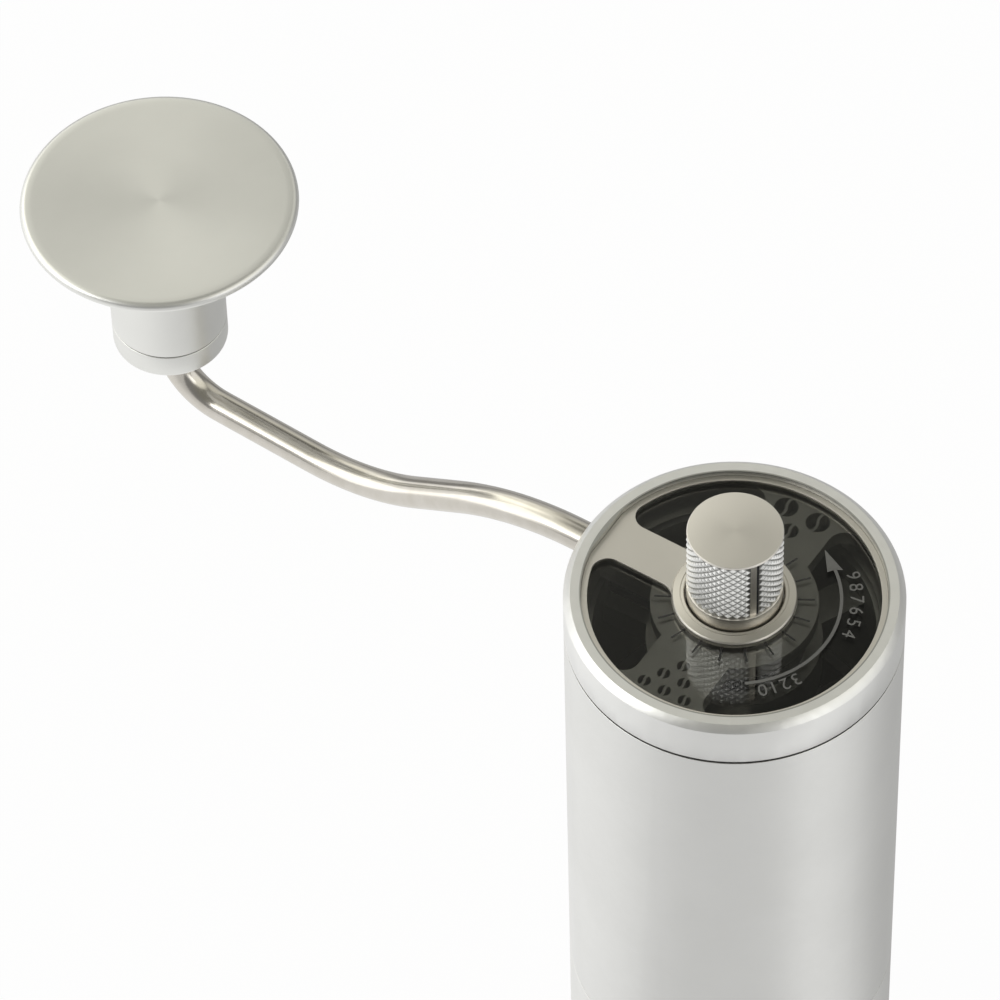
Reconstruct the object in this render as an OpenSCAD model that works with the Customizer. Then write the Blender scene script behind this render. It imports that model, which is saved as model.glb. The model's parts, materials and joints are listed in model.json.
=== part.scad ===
// Hand crank coffee grinder: a round body with a push-on catch cup, and a lift-off head that carries the crank.
// Millimetres. Origin: centre of the foot pad's underside. +Z up, along the drive shaft. The crank arm points
// along arm_az, counted from +X towards +Y.

/* [Body] */
// Outside diameter of the body, the cup and the head
body_d = 60; // [58:0.5:66]
// Wall of the body tube
wall = 3; // [2.6:0.1:3.2]
// Height of the catch cup
cup_h = 56; // [50:1:66]
// Height of the head's lower bevel edge above the table
dial_h = 160; // [158:1:176]
// Height of the head's plain side, from the seam to its bevel
head_h = 8.2; // [8:0.1:10]
// Gap that shows between head and body, and between body and cup
seam_gap = 0.3; // [0.2:0.05:0.5]
// Depth of the seat for the lid carrier inside the top of the tube
seat_depth = 11.5; // [11:0.1:12.5]
// How much wider the lid seat is than the tube's bore
seat_step = 1; // [0.8:0.1:1.2]

/* [Head] */
// Height of the bevel above the head's side
bevel_h = 1.2; // [0.8:0.1:1.6]
// Width of the bevel
bevel_w = 1.2; // [0.8:0.1:1.6]
// Width of the flat rim inside the bevel
rim_w = 1.9; // [1.5:0.1:2.2]
// How far the flat that keys window and frame cuts into the round recess
key_depth = 0.5; // [0.3:0.05:0.7]
// Thickness of the bright frame over the window
frame_t = 0.5; // [0.4:0.05:0.7]
// Thickness of the window
window_t = 0.9; // [0.7:0.05:1.2]
// Thickness of the dial floor
floor_t = 3; // [2.6:0.1:3.2]
// Width of the narrow ledge that the frame leaves around the window
ledge_w = 1.1; // [0.8:0.1:1.4]
// Radius of the dial's hub disc
hub_disc_r = 14.8; // [14.2:0.1:15.4]
// Width of the two wide spokes that carry the bean signs
spoke_w = 13.8; // [12:0.2:15]
// Width of the spoke that holds the crank arm
arm_spoke_w = 7.4; // [7:0.1:8]
// Width of the bright spoke on the frame
frame_spoke_w = 8.6; // [8.4:0.1:9.4]
// Radius of the rounded corners of the dial's openings
corner_r = 3; // [2:0.1:3.4]
// Outer radius of the frame's collar around the adjusting knob
collar_r = 11.05; // [10.8:0.05:12]
// Height of the collar above the frame's plate
collar_h = 1.25; // [0.6:0.05:1.6]
// Bevel on the collar's edges
collar_bevel = 0.25; // [0.1:0.05:0.4]
// Radius of the turned line on the collar
collar_line_r = 9.5; // [9.2:0.05:10]
// How far the arm's boss reaches below the seam
boss_drop = 2.5; // [2.2:0.1:3]
// Length of the hollow shank below the seam
shank_l = 18.8; // [18:0.1:20]

/* [Bean signs] */
// Radius of a large bean
bean_r = 2.15; // [1.8:0.05:2.3]
// Radius of the medium bean
medium_bean_r = 1.6; // [1.4:0.05:1.8]
// Radius of a small bean
small_bean_r = 1.15; // [1:0.05:1.3]
// Distance between large beans
bean_pitch = 6.5; // [5.6:0.1:6.8]
// Distance between small beans
small_bean_pitch = 4.1; // [3.6:0.1:4.2]
// Width of the bean's wavy seam
bean_seam = 0.5; // [0.4:0.05:0.6]
// Turn of each bean on its spoke
bean_tilt = -90; // [-120:5:-30]
// Distance of the large beans from the dial's edge
bean_edge = 3.2; // [2.6:0.1:4]
// Distance of the medium bean from the dial's edge
medium_bean_edge = 7.4; // [6.5:0.1:8]
// Distance of the innermost small bean from the hub disc
small_bean_edge = 2; // [1.4:0.1:2.4]

/* [Adjusting knob] */
// Diameter of the adjusting knob
knob_d = 17; // [16:0.1:17.4]
// Height of the knob above the head's bevel edge
knob_h = 18.7; // [14:0.1:22]
// Radial gap between knob and collar
knob_gap = 0.25; // [0.15:0.05:0.4]
// Height of the plain band that shows at the foot of the knob
knob_band_h = 2.8; // [2:0.1:5]
// Bevel at the knob's top edge
knob_bevel = 0.4; // [0.2:0.1:0.8]
// Width of the pointer groove
pointer_w = 1.8; // [1.2:0.1:2.4]
// Depth of the pointer groove
pointer_depth = 0.4; // [0.3:0.05:0.6]
// Direction of the pointer groove
pointer_az = -68; // [-80:1:-60]
// Diameter of the knob's hollow shank
knob_shank_d = 11; // [10.6:0.1:11.2]
// Diameter of the feed thread
thread_d = 6; // [5:0.5:6.5]

/* [Crank arm] */
// Direction of the crank arm
arm_az = 145.5; // [140:0.5:150]
// Distance from the drive shaft to the grip's axis
crank_r = 120.3; // [114:0.5:130]
// Diameter of the arm's rod
arm_d = 5.8; // [5.4:0.1:5.8]
// Depth of the arm's centre below the head's bevel edge
arm_drop = 4.7; // [4.6:0.05:4.8]
// Diameter of the turned-down spigot inside the head
spigot_d = 4; // [3.6:0.1:4.2]
// Length of full rod inside the head's wall
arm_socket = 2.5; // [2:0.1:2.8]
// Straight stretch outside the head before the first bend
arm_lead = 2.5; // [1:0.5:5]
// Radius of the downward bend
bend_down_r = 53; // [40:1:60]
// Angle of the downward bend
bend_down_a = 28.4; // [20:0.2:32]
// Straight stretch between the first two bends
arm_mid = 11; // [6:0.5:16]
// Radius of the bend back to level
bend_back_r = 41.5; // [34:0.5:48]
// Rise of the outer stretch
arm_rise_a = 4; // [0:0.5:8]
// Radius of the bend up into the grip
bend_up_r = 11; // [9:0.5:14]

/* [Grip] */
// Diameter of the mushroom grip
grip_d = 49.6; // [44:0.2:56]
// Height of the mushroom grip with its end ring
grip_h = 36.9; // [34:0.1:42]
// Depth of the grip's lower end below the head's bevel edge
grip_drop = 5.05; // [4:0.05:6]
// Diameter of the stem
stem_d = 20.9; // [19:0.1:23]
// Radius of the disc's rounded edge
grip_edge_r = 1.1; // [0.8:0.1:1.4]
// Radius of the hollow flare under the disc
flare_r = 12; // [9:0.5:13]
// Depth of the shallow dish in the disc's top
dish_depth = 0.25; // [0.15:0.05:0.4]
// Height of the end ring
end_ring_h = 5.2; // [5:0.1:7]
// Wall of the grip's bushes
bush_wall = 1.4; // [1:0.1:1.8]
// Height of the rod's end inside the grip
axle_h = 24; // [20:0.5:26]

/* [Lid] */
// Direction of the lid carrier's first spoke
carrier_az = 28; // [0:1:60]
// Width of the lid carrier's spokes
carrier_spoke_w = 6.5; // [5:0.5:8]
// Height of the lid carrier's spokes
carrier_spoke_h = 5; // [4:0.5:5.5]
// Wall of the lid carrier's ring
carrier_wall = 2.8; // [2.5:0.1:3.2]
// Bore of the lid bearing
lid_bearing_bore = 17; // [16.6:0.2:17.4]
// Outside diameter of the lid bearing
lid_bearing_od = 26; // [25.6:0.2:26.6]
// Width of the lid bearing
lid_bearing_w = 5; // [4.6:0.1:5.4]

/* [Drive] */
// Diameter of the drive shaft
shaft_d = 8; // [7.6:0.1:8.2]
// Width across the flats of the shaft's ends
flats_w = 7; // [6.6:0.1:7.2]
// Gap around the shaft's end in the drive socket
socket_gap = 0.08; // [0.05:0.01:0.12]
// Depth of the shaft's end in the drive socket
socket_grip = 8; // [6:0.5:8.5]
// Height of the feed spindle's foot
slug_h = 5; // [4:0.1:5]
// Outside diameter of the shaft bearings
shaft_bearing_od = 16; // [15.6:0.2:16.8]
// Width of the shaft bearings
shaft_bearing_w = 5; // [4.6:0.1:5.4]
// Outside diameter of the return spring
spring_d = 13; // [12:0.2:13.6]
// Wire of the return spring
wire_d = 1; // [0.8:0.1:1.2]
// Height of the return spring in place
spring_h = 9; // [8:0.5:12]
// Number of turns of the return spring
spring_turns = 5; // [4:1:6]
// Radius of the upper bridge's hub
bridge_hub_r = 11; // [10.6:0.1:12]
// Width of the bridge's spokes
bridge_spoke_w = 5; // [4:0.5:7]
// Number of spokes on each bridge
bridge_spokes = 3; // [3:1:4]

/* [Burrs] */
// Height of the burrs' lower face above the cup's rim
burr_lift = 4; // [3.6:0.1:6]
// Wall of the burr carrier around the ring burr
burr_shell = 3; // [2.6:0.1:3.4]
// Wall of the ring burr at its lower edge
ring_burr_wall = 4.5; // [4.2:0.1:5]
// Wall of the ring burr at its mouth
mouth_wall = 5.5; // [5.2:0.1:6]
// Height of the cone burr
cone_h = 22; // [20:0.5:24]
// Radius of the cone burr's top
cone_top_r = 8.5; // [8:0.1:10]
// Height of the fine grinding ring at the burrs' lower end
fine_h = 6; // [5:0.5:7]
// How much the cone narrows over the fine ring
fine_taper = 2.8; // [2.4:0.1:3.2]
// Radial gap between the burrs
burr_gap = 0.4; // [0.35:0.01:0.6]
// Height of the ring burr
ring_burr_h = 18; // [16:0.5:20]
// Number of large flutes on the cone
cone_flutes = 8; // [6:1:10]
// Number of large flutes in the ring
ring_flutes = 12; // [8:1:14]
// Number of fine teeth on each burr
fine_teeth = 36; // [24:2:40]
// Number of screws that hold the ring burr
burr_screws = 3; // [3:1:4]

/* [Cup] */
// Floor of the cup
cup_floor = 2.5; // [2:0.1:4]
// Thickness of the foot pad
pad_t = 2; // [1.6:0.1:3]
// How far the foot pad stands proud of the cup
pad_proud = 0.6; // [0.3:0.1:1]
// Length of the burr carrier's spigot inside the cup
spigot_l = 9; // [7:0.5:11]

/* [Fits] */
// Gap of a running or pressed fit, on the radius
fit = 0.05; // [0.03:0.01:0.08]
// Gap between a lift-off part and its seat, on the radius
slip = 0.2; // [0.15:0.01:0.3]

/* [Hidden] */
$fn = 96;
cut = 1;
spoke_count = 3;

// Body and head levels
body_r = body_d / 2;
tube_r = body_r - wall;
seat_r = tube_r + seat_step;
z_edge = dial_h;
z_rim = z_edge + bevel_h;
z_seam = z_edge - head_h;
z_head = z_seam + seam_gap / 2;
z_tube = z_seam - seam_gap / 2;
z_seat = z_tube - seat_depth;
z_glass = z_edge - frame_t;
z_floor = z_glass - window_t;
z_ceiling = z_floor - floor_t;
z_boss = z_seam - boss_drop;

// Radii on the head
recess_r = body_r - bevel_w - rim_w;
key_x = recess_r - key_depth;
open_r = recess_r - ledge_w;
collar_bore = knob_d / 2 + knob_gap;
window_bore = collar_bore + 0.15;
boss_r = open_r - 1.75;
bean_az = [arm_az - 90, arm_az + 90];

// Lid bearing, its shank and clips
clip_t = 0.8;
clip_grip = 0.55;
z_bearing = z_boss - 0.6;
z_bearing_low = z_bearing - lid_bearing_w;
lid_shank_r = lid_bearing_bore / 2 - fit;
lid_shoulder_r = lid_shank_r + 1.2;
z_shank = z_seam - shank_l;
socket_r = lid_shank_r - 1.85;
knob_shank_r = knob_shank_d / 2;
z_step = z_bearing + 0.2;
z_knob_clip = z_step - 0.2 - clip_t;
z_knob_shank = z_knob_clip - 1;
knob_ring_r = 0.45;
z_knob_ring = z_floor - 4.2;
z_socket = z_knob_shank - 0.4;
carrier_r = seat_r - slip;
lid_ring_r = 0.75;
lid_groove_r = seat_r - 2 * lid_ring_r - 2 * fit;
z_lid_groove = z_seat + seat_depth / 2;
z_carrier = z_tube - 0.5;
carrier_hub_r = lid_bearing_od / 2 + 2.6;
carrier_lip_r = lid_bearing_od / 2 - 1.5;
arm_screw_r = 1.5;

// Drive shaft and the parts around it
z_shaft = z_shank + socket_grip;
z_slug = z_shaft + fit;
z_slug_top = z_slug + slug_h;
z_shaft_clip = z_shank - 5;
thrust_t = 1;
seat_t = 0.8;
z_thrust = z_shaft_clip - thrust_t;
z_spring_seat = z_thrust - seat_t;
z_spring = z_spring_seat - spring_h;
web_t = 2;
z_web = z_spring - web_t;
z_upper_bearing = z_web - shaft_bearing_w;
z_bridge = z_upper_bearing - 1;
z_bridge_top = z_shaft_clip + 1.2;
spring_bore_r = spring_d / 2 + 1.1;
shaft_r = shaft_d / 2;
shaft_pass_r = shaft_r + 1;
shaft_groove_r = shaft_r - 0.8;
spring_flange_r = spring_d / 2 + 0.6;

// Burrs and the carrier that holds them
z_tube_low = cup_h + seam_gap;
z_burr = cup_h + burr_lift;
z_ring_burr = z_burr + ring_burr_h;
z_cone = z_burr + cone_h;
shoulder_t = 2.5;
z_carrier_hub = z_cone + shoulder_t + 2.5;
z_lower_bearing = z_carrier_hub + 1.5;
z_carrier_lip = z_lower_bearing + shaft_bearing_w;
z_burr_carrier = z_carrier_lip + 1.5;
burr_carrier_r = tube_r - 0.1;
ring_burr_r = burr_carrier_r - burr_shell;
cone_r = ring_burr_r - ring_burr_wall - burr_gap;
mouth_r = ring_burr_r - mouth_wall;
burr_seat_r = ring_burr_r + fit;
burr_hub_r = shaft_bearing_od / 2 + 2.5;
throat_r = burr_carrier_r - 2.4;
z_spigot = cup_h - spigot_l;
cup_ring_r = 0.85;
cup_groove_r = tube_r - 2 * cup_ring_r - 2 * fit;
z_cup_groove = cup_h - spigot_l / 2;
foot_lip = 2;
fine_r = cone_r - fine_taper;
burr_screw_r = ring_burr_r - ring_burr_wall / 2;
burr_screw_hold = 2;
burr_screw_az = carrier_az + 180 / bridge_spokes;
m25_r = 1.25;
burr_thread_r = 1.95;
burr_thread_l = 10;
z_washer = z_burr - 1.2;
screw_head_r = 1.9;
screw_head_t = 2.2;
screw_sunk = 0.2;

// Grip
grip_r = grip_d / 2;
stem_r = stem_d / 2;
z_grip = z_edge - grip_drop;
z_grip_top = z_grip + grip_h;
arm_r = arm_d / 2;
rod_lap = 0.3;
bend_relief = 0.01;
spigot_in = knob_shank_r + 3.5;
bush_r = arm_r + fit + bush_wall;
z_low_bush = z_grip + end_ring_h + 0.2;
z_neck = z_grip + end_ring_h + 3;
ring_neck_r = stem_r - 2;
z_arm = z_edge - arm_drop;
bend_back_a = bend_down_a + arm_rise_a;

// Reach and drop of the arm's stretches, from the head's wall to the last bend
reach_down = bend_down_r * sin(bend_down_a);
drop_down = bend_down_r * (1 - cos(bend_down_a));
reach_mid = arm_mid * cos(bend_down_a);
drop_mid = arm_mid * sin(bend_down_a);
reach_back = bend_back_r * (sin(bend_down_a) + sin(arm_rise_a));
drop_back = bend_back_r * (cos(arm_rise_a) - cos(bend_down_a));
reach_up = bend_up_r * (1 - sin(arm_rise_a));
reach_out = crank_r - body_r - arm_lead - reach_down - reach_mid - reach_back - reach_up;
arm_out = reach_out / cos(arm_rise_a);
z_low = z_arm - drop_down - drop_mid - drop_back;
z_bend_end = z_low + reach_out * tan(arm_rise_a) + bend_up_r * cos(arm_rise_a);

// ---- shared shapes ----

// A tube from z0 to z1
module ring(r_out, r_in, z0, z1) {
  translate([0, 0, z0])
    difference() {
      cylinder(r = r_out, h = z1 - z0);
      translate([0, 0, -cut])
        cylinder(r = r_in, h = z1 - z0 + 2 * cut);
    }
}

// A solid disc from z0 to z1
module disc(r, z0, z1) {
  translate([0, 0, z0])
    cylinder(r = r, h = z1 - z0);
}

// A frustum from radius r0 at z0 to r1 at z1
module taper(r0, r1, z0, z1) {
  translate([0, 0, z0])
    cylinder(r1 = r0, r2 = r1, h = z1 - z0);
}

// Spokes from the axis out to radius r
module spokes(count, width, r, z0, z1, az = 0) {
  for (k = [0 : count - 1])
    rotate(az + k * 360 / count)
      translate([0, -width / 2, z0])
        cube([r, width, z1 - z0]);
}

// A round bar of the shaft's diameter with six flats
module hex_bar(across, d, z0, z1) {
  intersection() {
    disc(d / 2, z0, z1);
    translate([0, 0, z0])
      cylinder(d = across / cos(30), h = z1 - z0, $fn = 6);
  }
}

// A round bar with two flats
module flat_bar(across, d, z0, z1) {
  intersection() {
    disc(d / 2, z0, z1);
    translate([-d, -across / 2, z0])
      cube([2 * d, across, z1 - z0]);
  }
}

// An O-ring of minor radius r on the circle of radius big_r
module o_ring(big_r, r, z) {
  translate([0, 0, z])
    rotate_extrude()
      translate([big_r, 0])
        circle(r = r);
}

// A retaining clip: an open ring with its gap along -X
module clip(r_out, r_in, z0, t) {
  difference() {
    ring(r_out, r_in, z0, z0 + t);
    translate([-r_out - cut, -r_in / 3, z0 - cut])
      cube([r_out, 2 * r_in / 3, t + 2 * cut]);
  }
}

// ---- ball bearings ----

ball_fill = 0.7;
function race_t(bore, od) = 0.3 * (od - bore) / 2;
function ball_r(bore, od) = 0.275 * (od - bore) / 2;
function pitch_r(bore, od) = (od + bore) / 4;
function ball_count(bore, od) = floor(PI * pitch_r(bore, od) / ball_r(bore, od) * ball_fill);

module raceway(bore, od, w) {
  translate([0, 0, w / 2])
    rotate_extrude()
      translate([pitch_r(bore, od), 0])
        circle(r = ball_r(bore, od) + fit);
}

module bearing_outer(bore, od, w) {
  shield_t = 0.25;
  shield_r = bore / 2 + race_t(bore, od) + 3 * fit;
  difference() {
    ring(od / 2, od / 2 - race_t(bore, od), 0, w);
    raceway(bore, od, w);
  }
  for (z = [0, w - shield_t])
    ring(od / 2 - race_t(bore, od) / 2, shield_r, z, z + shield_t);
}

module bearing_inner(bore, od, w) {
  difference() {
    ring(bore / 2 + race_t(bore, od), bore / 2, 0, w);
    raceway(bore, od, w);
  }
}

module bearing_balls(bore, od, w) {
  count = ball_count(bore, od);
  for (k = [0 : count - 1])
    rotate(k * 360 / count)
      translate([pitch_r(bore, od), 0, w / 2])
        sphere(r = ball_r(bore, od));
}

// ---- body ----

module body_tube() {
  color("silver")
    difference() {
      ring(body_r, tube_r, z_tube_low, z_tube);
      disc(seat_r, z_seat, z_tube + cut);
    }
}

module upper_bridge() {
  ring_t = 2.2;
  bridge_h = 8;
  color("dimgray") {
    difference() {
      union() {
        disc(bridge_hub_r, z_bridge, z_bridge_top);
        intersection() {
          spokes(bridge_spokes, bridge_spoke_w, tube_r, z_bridge, z_bridge + bridge_h, carrier_az);
          disc(tube_r - ring_t / 2, z_bridge, z_bridge + bridge_h);
        }
      }
      disc(shaft_bearing_od / 2, z_bridge - cut, z_web);
      disc(shaft_pass_r, z_bridge - cut, z_bridge_top + cut);
      disc(spring_bore_r, z_spring, z_bridge_top + cut);
    }
    ring(tube_r - fit, tube_r - ring_t, z_bridge, z_bridge + bridge_h);
  }
}

// Holds the ring burr and the lower bearing, and reaches into the cup as its spigot
module burr_carrier() {
  groove = cup_ring_r + fit;
  color("dimgray")
    difference() {
      disc(burr_carrier_r, z_spigot, z_burr_carrier);
      // cavity above the funnel, around the hub and its spokes
      difference() {
        union() {
          disc(throat_r, z_carrier_hub - shoulder_t, z_burr_carrier + cut);
          taper(mouth_r, throat_r, z_ring_burr, z_carrier_hub - shoulder_t);
        }
        disc(burr_hub_r, z_carrier_hub, z_burr_carrier);
        spokes(bridge_spokes, bridge_spoke_w, burr_carrier_r, z_carrier_hub, z_burr_carrier, carrier_az);
      }
      disc(burr_seat_r, z_spigot - cut, z_ring_burr);
      disc(shaft_bearing_od / 2, z_carrier_hub - cut, z_carrier_lip);
      disc(shaft_pass_r, z_carrier_hub - cut, z_burr_carrier + cut);
      ring(burr_carrier_r + cut, cup_groove_r, z_cup_groove - groove, z_cup_groove + groove);
      burr_screw_holes(m25_r, z_ring_burr - cut, z_ring_burr + burr_screw_hold);
    }
}

module burr_screw_holes(r, z0, z1) {
  for (k = [0 : burr_screws - 1])
    rotate(burr_screw_az + k * 360 / burr_screws)
      translate([burr_screw_r, 0, 0])
        disc(r, z0, z1);
}

// ---- burrs ----

module ring_burr() {
  color("gray")
    difference() {
      disc(ring_burr_r, z_burr, z_ring_burr);
      taper(cone_r + burr_gap, fine_r + burr_gap, z_burr, z_burr + fine_h);
      disc(cone_r + burr_gap, z_burr - cut, z_burr);
      taper(fine_r + burr_gap, mouth_r, z_burr + fine_h, z_ring_burr);
      disc(mouth_r, z_ring_burr, z_ring_burr + cut);
      for (k = [0 : ring_flutes - 1])
        rotate(k * 360 / ring_flutes)
          ring_flute();
      for (k = [0 : fine_teeth - 1])
        rotate(k * 360 / fine_teeth)
          fine_notch(cone_r + burr_gap);
      burr_screw_holes(m25_r + fit, z_burr - cut, z_ring_burr + cut);
      burr_screw_holes(screw_head_r + fit, z_burr - cut, z_burr + screw_sunk + screw_head_t);
    }
}

// A slanting round flute in the ring burr's upper part
module ring_flute() {
  flute_r = 2.2;
  slant = -28;
  lean = 6;
  translate([fine_r + burr_gap, 0, z_burr + fine_h + flute_r])
    rotate([slant, lean, 0])
      cylinder(r = flute_r, h = ring_burr_h);
}

// A fine tooth gap at the lower edge of a burr, on radius r
module fine_notch(r) {
  notch = 0.8;
  slant = 12;
  lean = atan(fine_taper / fine_h);
  translate([r, 0, z_burr])
    rotate([0, -lean, 0])
      rotate([slant, 0, 0])
        translate([0, 0, -cut])
          rotate(45)
            cube([notch, notch, 2 * (fine_h + 2 * cut)], center = true);
}

module cone_burr() {
  color("darkgray")
    difference() {
      union() {
        taper(cone_r, fine_r, z_burr, z_burr + fine_h);
        taper(fine_r, cone_top_r, z_burr + fine_h, z_cone);
      }
      for (k = [0 : cone_flutes - 1])
        rotate(k * 360 / cone_flutes)
          cone_flute();
      for (k = [0 : fine_teeth - 1])
        rotate((k + 0.5) * 360 / fine_teeth)
          fine_notch(cone_r);
      translate([0, 0, z_burr - cut])
        flat_bar(flats_w + 2 * fit, shaft_d + 2 * fit, 0, cone_h + 2 * cut);
    }
}

// A slanting flute on the cone, running out into the fine ring
module cone_flute() {
  flute_r = 3.4;
  flute_out = 1.9;
  slant = 30;
  rise = cone_h - fine_h;
  lean = atan((fine_r - cone_top_r) / rise);
  translate([fine_r + flute_out, 0, z_burr + fine_h])
    rotate([0, -lean, 0])
      rotate([slant, 0, 0])
        cylinder(r = flute_r, h = 2 * rise);
}

module ring_burr_screws() {
  hex_w = 1.5;
  end_gap = 0.2;
  z_head_low = z_burr + screw_sunk;
  color("dimgray")
    for (k = [0 : burr_screws - 1])
      rotate(burr_screw_az + k * 360 / burr_screws)
        translate([burr_screw_r, 0, 0])
          difference() {
            union() {
              disc(screw_head_r, z_head_low, z_head_low + screw_head_t);
              disc(m25_r - fit, z_head_low, z_ring_burr + burr_screw_hold - end_gap);
            }
            hex_bar(hex_w, 2 * hex_w, z_burr - cut, z_head_low + screw_head_t / 2);
          }
}

module burr_washer() {
  washer_r = 6.5;
  color("silver")
    ring(washer_r, burr_thread_r + 3 * fit, z_washer, z_burr);
}

module burr_screw() {
  head_r = 3.6;
  head_t = 2.8;
  hex_w = 3;
  color("dimgray")
    difference() {
      union() {
        disc(head_r, z_washer - head_t, z_washer);
        disc(burr_thread_r, z_washer, z_burr + burr_thread_l);
      }
      hex_bar(hex_w, 2 * hex_w, z_washer - head_t - cut, z_washer - head_t / 2);
    }
}

// ---- drive shaft and its bearings ----

module drive_shaft() {
  shoulder_w = 2;
  above_clip = 2;
  end_gap = 0.5;
  color("silver")
    difference() {
      union() {
        flat_bar(flats_w, shaft_d, z_burr + end_gap, z_cone);
        disc(shaft_r + shoulder_w, z_cone, z_cone + shoulder_t);
        disc(shaft_r - fit, z_cone + shoulder_t, z_shaft_clip + above_clip);
        hex_bar(flats_w, shaft_d - 2 * fit, z_shaft_clip + above_clip, z_shaft);
      }
      ring(shaft_r + cut, shaft_groove_r, z_shaft_clip, z_shaft_clip + clip_t);
      disc(burr_thread_r + fit, z_burr - cut, z_burr + burr_thread_l + 2);
    }
}

module shaft_clip() {
  rim = 2.4;
  color("dimgray")
    clip(shaft_r + rim, shaft_groove_r + fit, z_shaft_clip, clip_t);
}

module thrust_washer() {
  color("goldenrod")
    ring(spring_flange_r, shaft_r + fit, z_thrust, z_shaft_clip);
}

module spring_seat() {
  color("silver")
    ring(spring_flange_r, shaft_r + 2 * fit, z_spring_seat, z_thrust);
}

// Point on the spring's centre line, t from 0 at the bottom to 1 at the top
function coil_z(t) = z_spring + wire_d / 2 + fit + t * (spring_h - wire_d - 2 * fit);
function coil_point(t, side, sides) =
  let (
    turn = t * spring_turns * 360,
    big = (spring_d - wire_d) / 2,
    a = side * 360 / sides,
    r = big + wire_d / 2 * cos(a)
  )
  [r * cos(turn), r * sin(turn), coil_z(t) + wire_d / 2 * sin(a)];

module return_spring() {
  sides = 8;
  steps = spring_turns * 20;
  points = [
    for (i = [0 : steps])
      for (j = [0 : sides - 1])
        coil_point(i / steps, j, sides)
  ];
  skin = [
    for (i = [0 : steps - 1])
      for (j = [0 : sides - 1])
        let (a = i * sides + j, b = i * sides + (j + 1) % sides)
          for (face = [[a, a + sides, b], [b, a + sides, b + sides]])
            face
  ];
  ends = [
    [for (j = [0 : sides - 1]) j],
    [for (j = [0 : sides - 1]) (steps + 1) * sides - 1 - j]
  ];
  color("silver")
    polyhedron(points = points, faces = concat(skin, ends));
}

module upper_bearing_outer() {
  color("lightgray")
    translate([0, 0, z_upper_bearing])
      bearing_outer(shaft_d, shaft_bearing_od, shaft_bearing_w);
}

module upper_bearing_inner() {
  color("lightgray")
    translate([0, 0, z_upper_bearing])
      bearing_inner(shaft_d, shaft_bearing_od, shaft_bearing_w);
}

module upper_bearing_balls() {
  color("lightgray")
    translate([0, 0, z_upper_bearing])
      bearing_balls(shaft_d, shaft_bearing_od, shaft_bearing_w);
}

module lower_bearing_outer() {
  color("lightgray")
    translate([0, 0, z_lower_bearing])
      bearing_outer(shaft_d, shaft_bearing_od, shaft_bearing_w);
}

module lower_bearing_inner() {
  color("lightgray")
    translate([0, 0, z_lower_bearing])
      bearing_inner(shaft_d, shaft_bearing_od, shaft_bearing_w);
}

module lower_bearing_balls() {
  color("lightgray")
    translate([0, 0, z_lower_bearing])
      bearing_balls(shaft_d, shaft_bearing_od, shaft_bearing_w);
}

// ---- cup ----

module catch_cup() {
  foot_bevel = 0.8;
  color("silver")
    difference() {
      union() {
        taper(body_r - foot_bevel, body_r, pad_proud, pad_proud + foot_bevel);
        disc(body_r, pad_proud + foot_bevel, cup_h);
      }
      disc(tube_r, pad_t + cup_floor, cup_h + cut);
      disc(body_r - foot_lip, pad_proud - cut, pad_t);
    }
}

module foot_pad() {
  color("#333333")
    disc(body_r - foot_lip - slip / 2, 0, pad_t);
}

module cup_o_ring() {
  color("#222222")
    o_ring(cup_groove_r + cup_ring_r + fit, cup_ring_r, z_cup_groove);
}

// ---- lid carrier ----

module lid_carrier() {
  groove = lid_ring_r + fit;
  color("gray")
    difference() {
      union() {
        ring(carrier_r, carrier_r - carrier_wall, z_seat, z_carrier);
        intersection() {
          spokes(spoke_count, carrier_spoke_w, body_r, z_seat, z_seat + carrier_spoke_h, carrier_az);
          disc(carrier_r - carrier_wall / 2, z_seat, z_seat + carrier_spoke_h);
        }
        disc(carrier_hub_r, z_seat, z_bearing - 0.2);
      }
      disc(carrier_lip_r, z_seat - cut, z_bearing + cut);
      disc(lid_bearing_od / 2, z_bearing_low, z_bearing + cut);
      ring(carrier_r + cut, lid_groove_r, z_lid_groove - groove, z_lid_groove + groove);
    }
}

module lid_o_ring() {
  color("#222222")
    o_ring(lid_groove_r + lid_ring_r + fit, lid_ring_r, z_lid_groove);
}

module lid_bearing_outer() {
  color("lightgray")
    translate([0, 0, z_bearing_low])
      bearing_outer(lid_bearing_bore, lid_bearing_od, lid_bearing_w);
}

module lid_bearing_inner() {
  color("lightgray")
    translate([0, 0, z_bearing_low])
      bearing_inner(lid_bearing_bore, lid_bearing_od, lid_bearing_w);
}

module lid_bearing_balls() {
  color("lightgray")
    translate([0, 0, z_bearing_low])
      bearing_balls(lid_bearing_bore, lid_bearing_od, lid_bearing_w);
}

module lid_bearing_clip() {
  rim = 1.6;
  color("dimgray")
    rotate(arm_az)
      clip(lid_shank_r + rim, lid_shank_r - clip_grip + fit, z_bearing_low - clip_t - fit, clip_t);
}

// ---- head ----

// The recess outline: a circle with one flat across the arm's direction
module recess_outline(gap = 0) {
  intersection() {
    circle(r = recess_r - gap);
    rotate(arm_az)
      translate([-2 * recess_r, -2 * recess_r])
        square([2 * recess_r + key_x - gap, 4 * recess_r]);
  }
}

// A spoke of the given width with rounded corners where it meets the ring of radius r
module flared_spoke(width, r, corner) {
  half = width / 2;
  reach = r - corner;
  centre = [sqrt(reach * reach - (half + corner) * (half + corner)), half + corner];
  tip = sqrt(r * r - half * half);
  translate([0, -half])
    square([tip, width]);
  for (side = [1, -1])
    scale([1, side])
      difference() {
        polygon([
          [centre[0], 0],
          [tip + cut, 0],
          [tip + cut, half],
          centre * (r / reach),
          centre
        ]);
        translate(centre)
          circle(r = corner);
      }
}

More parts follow.
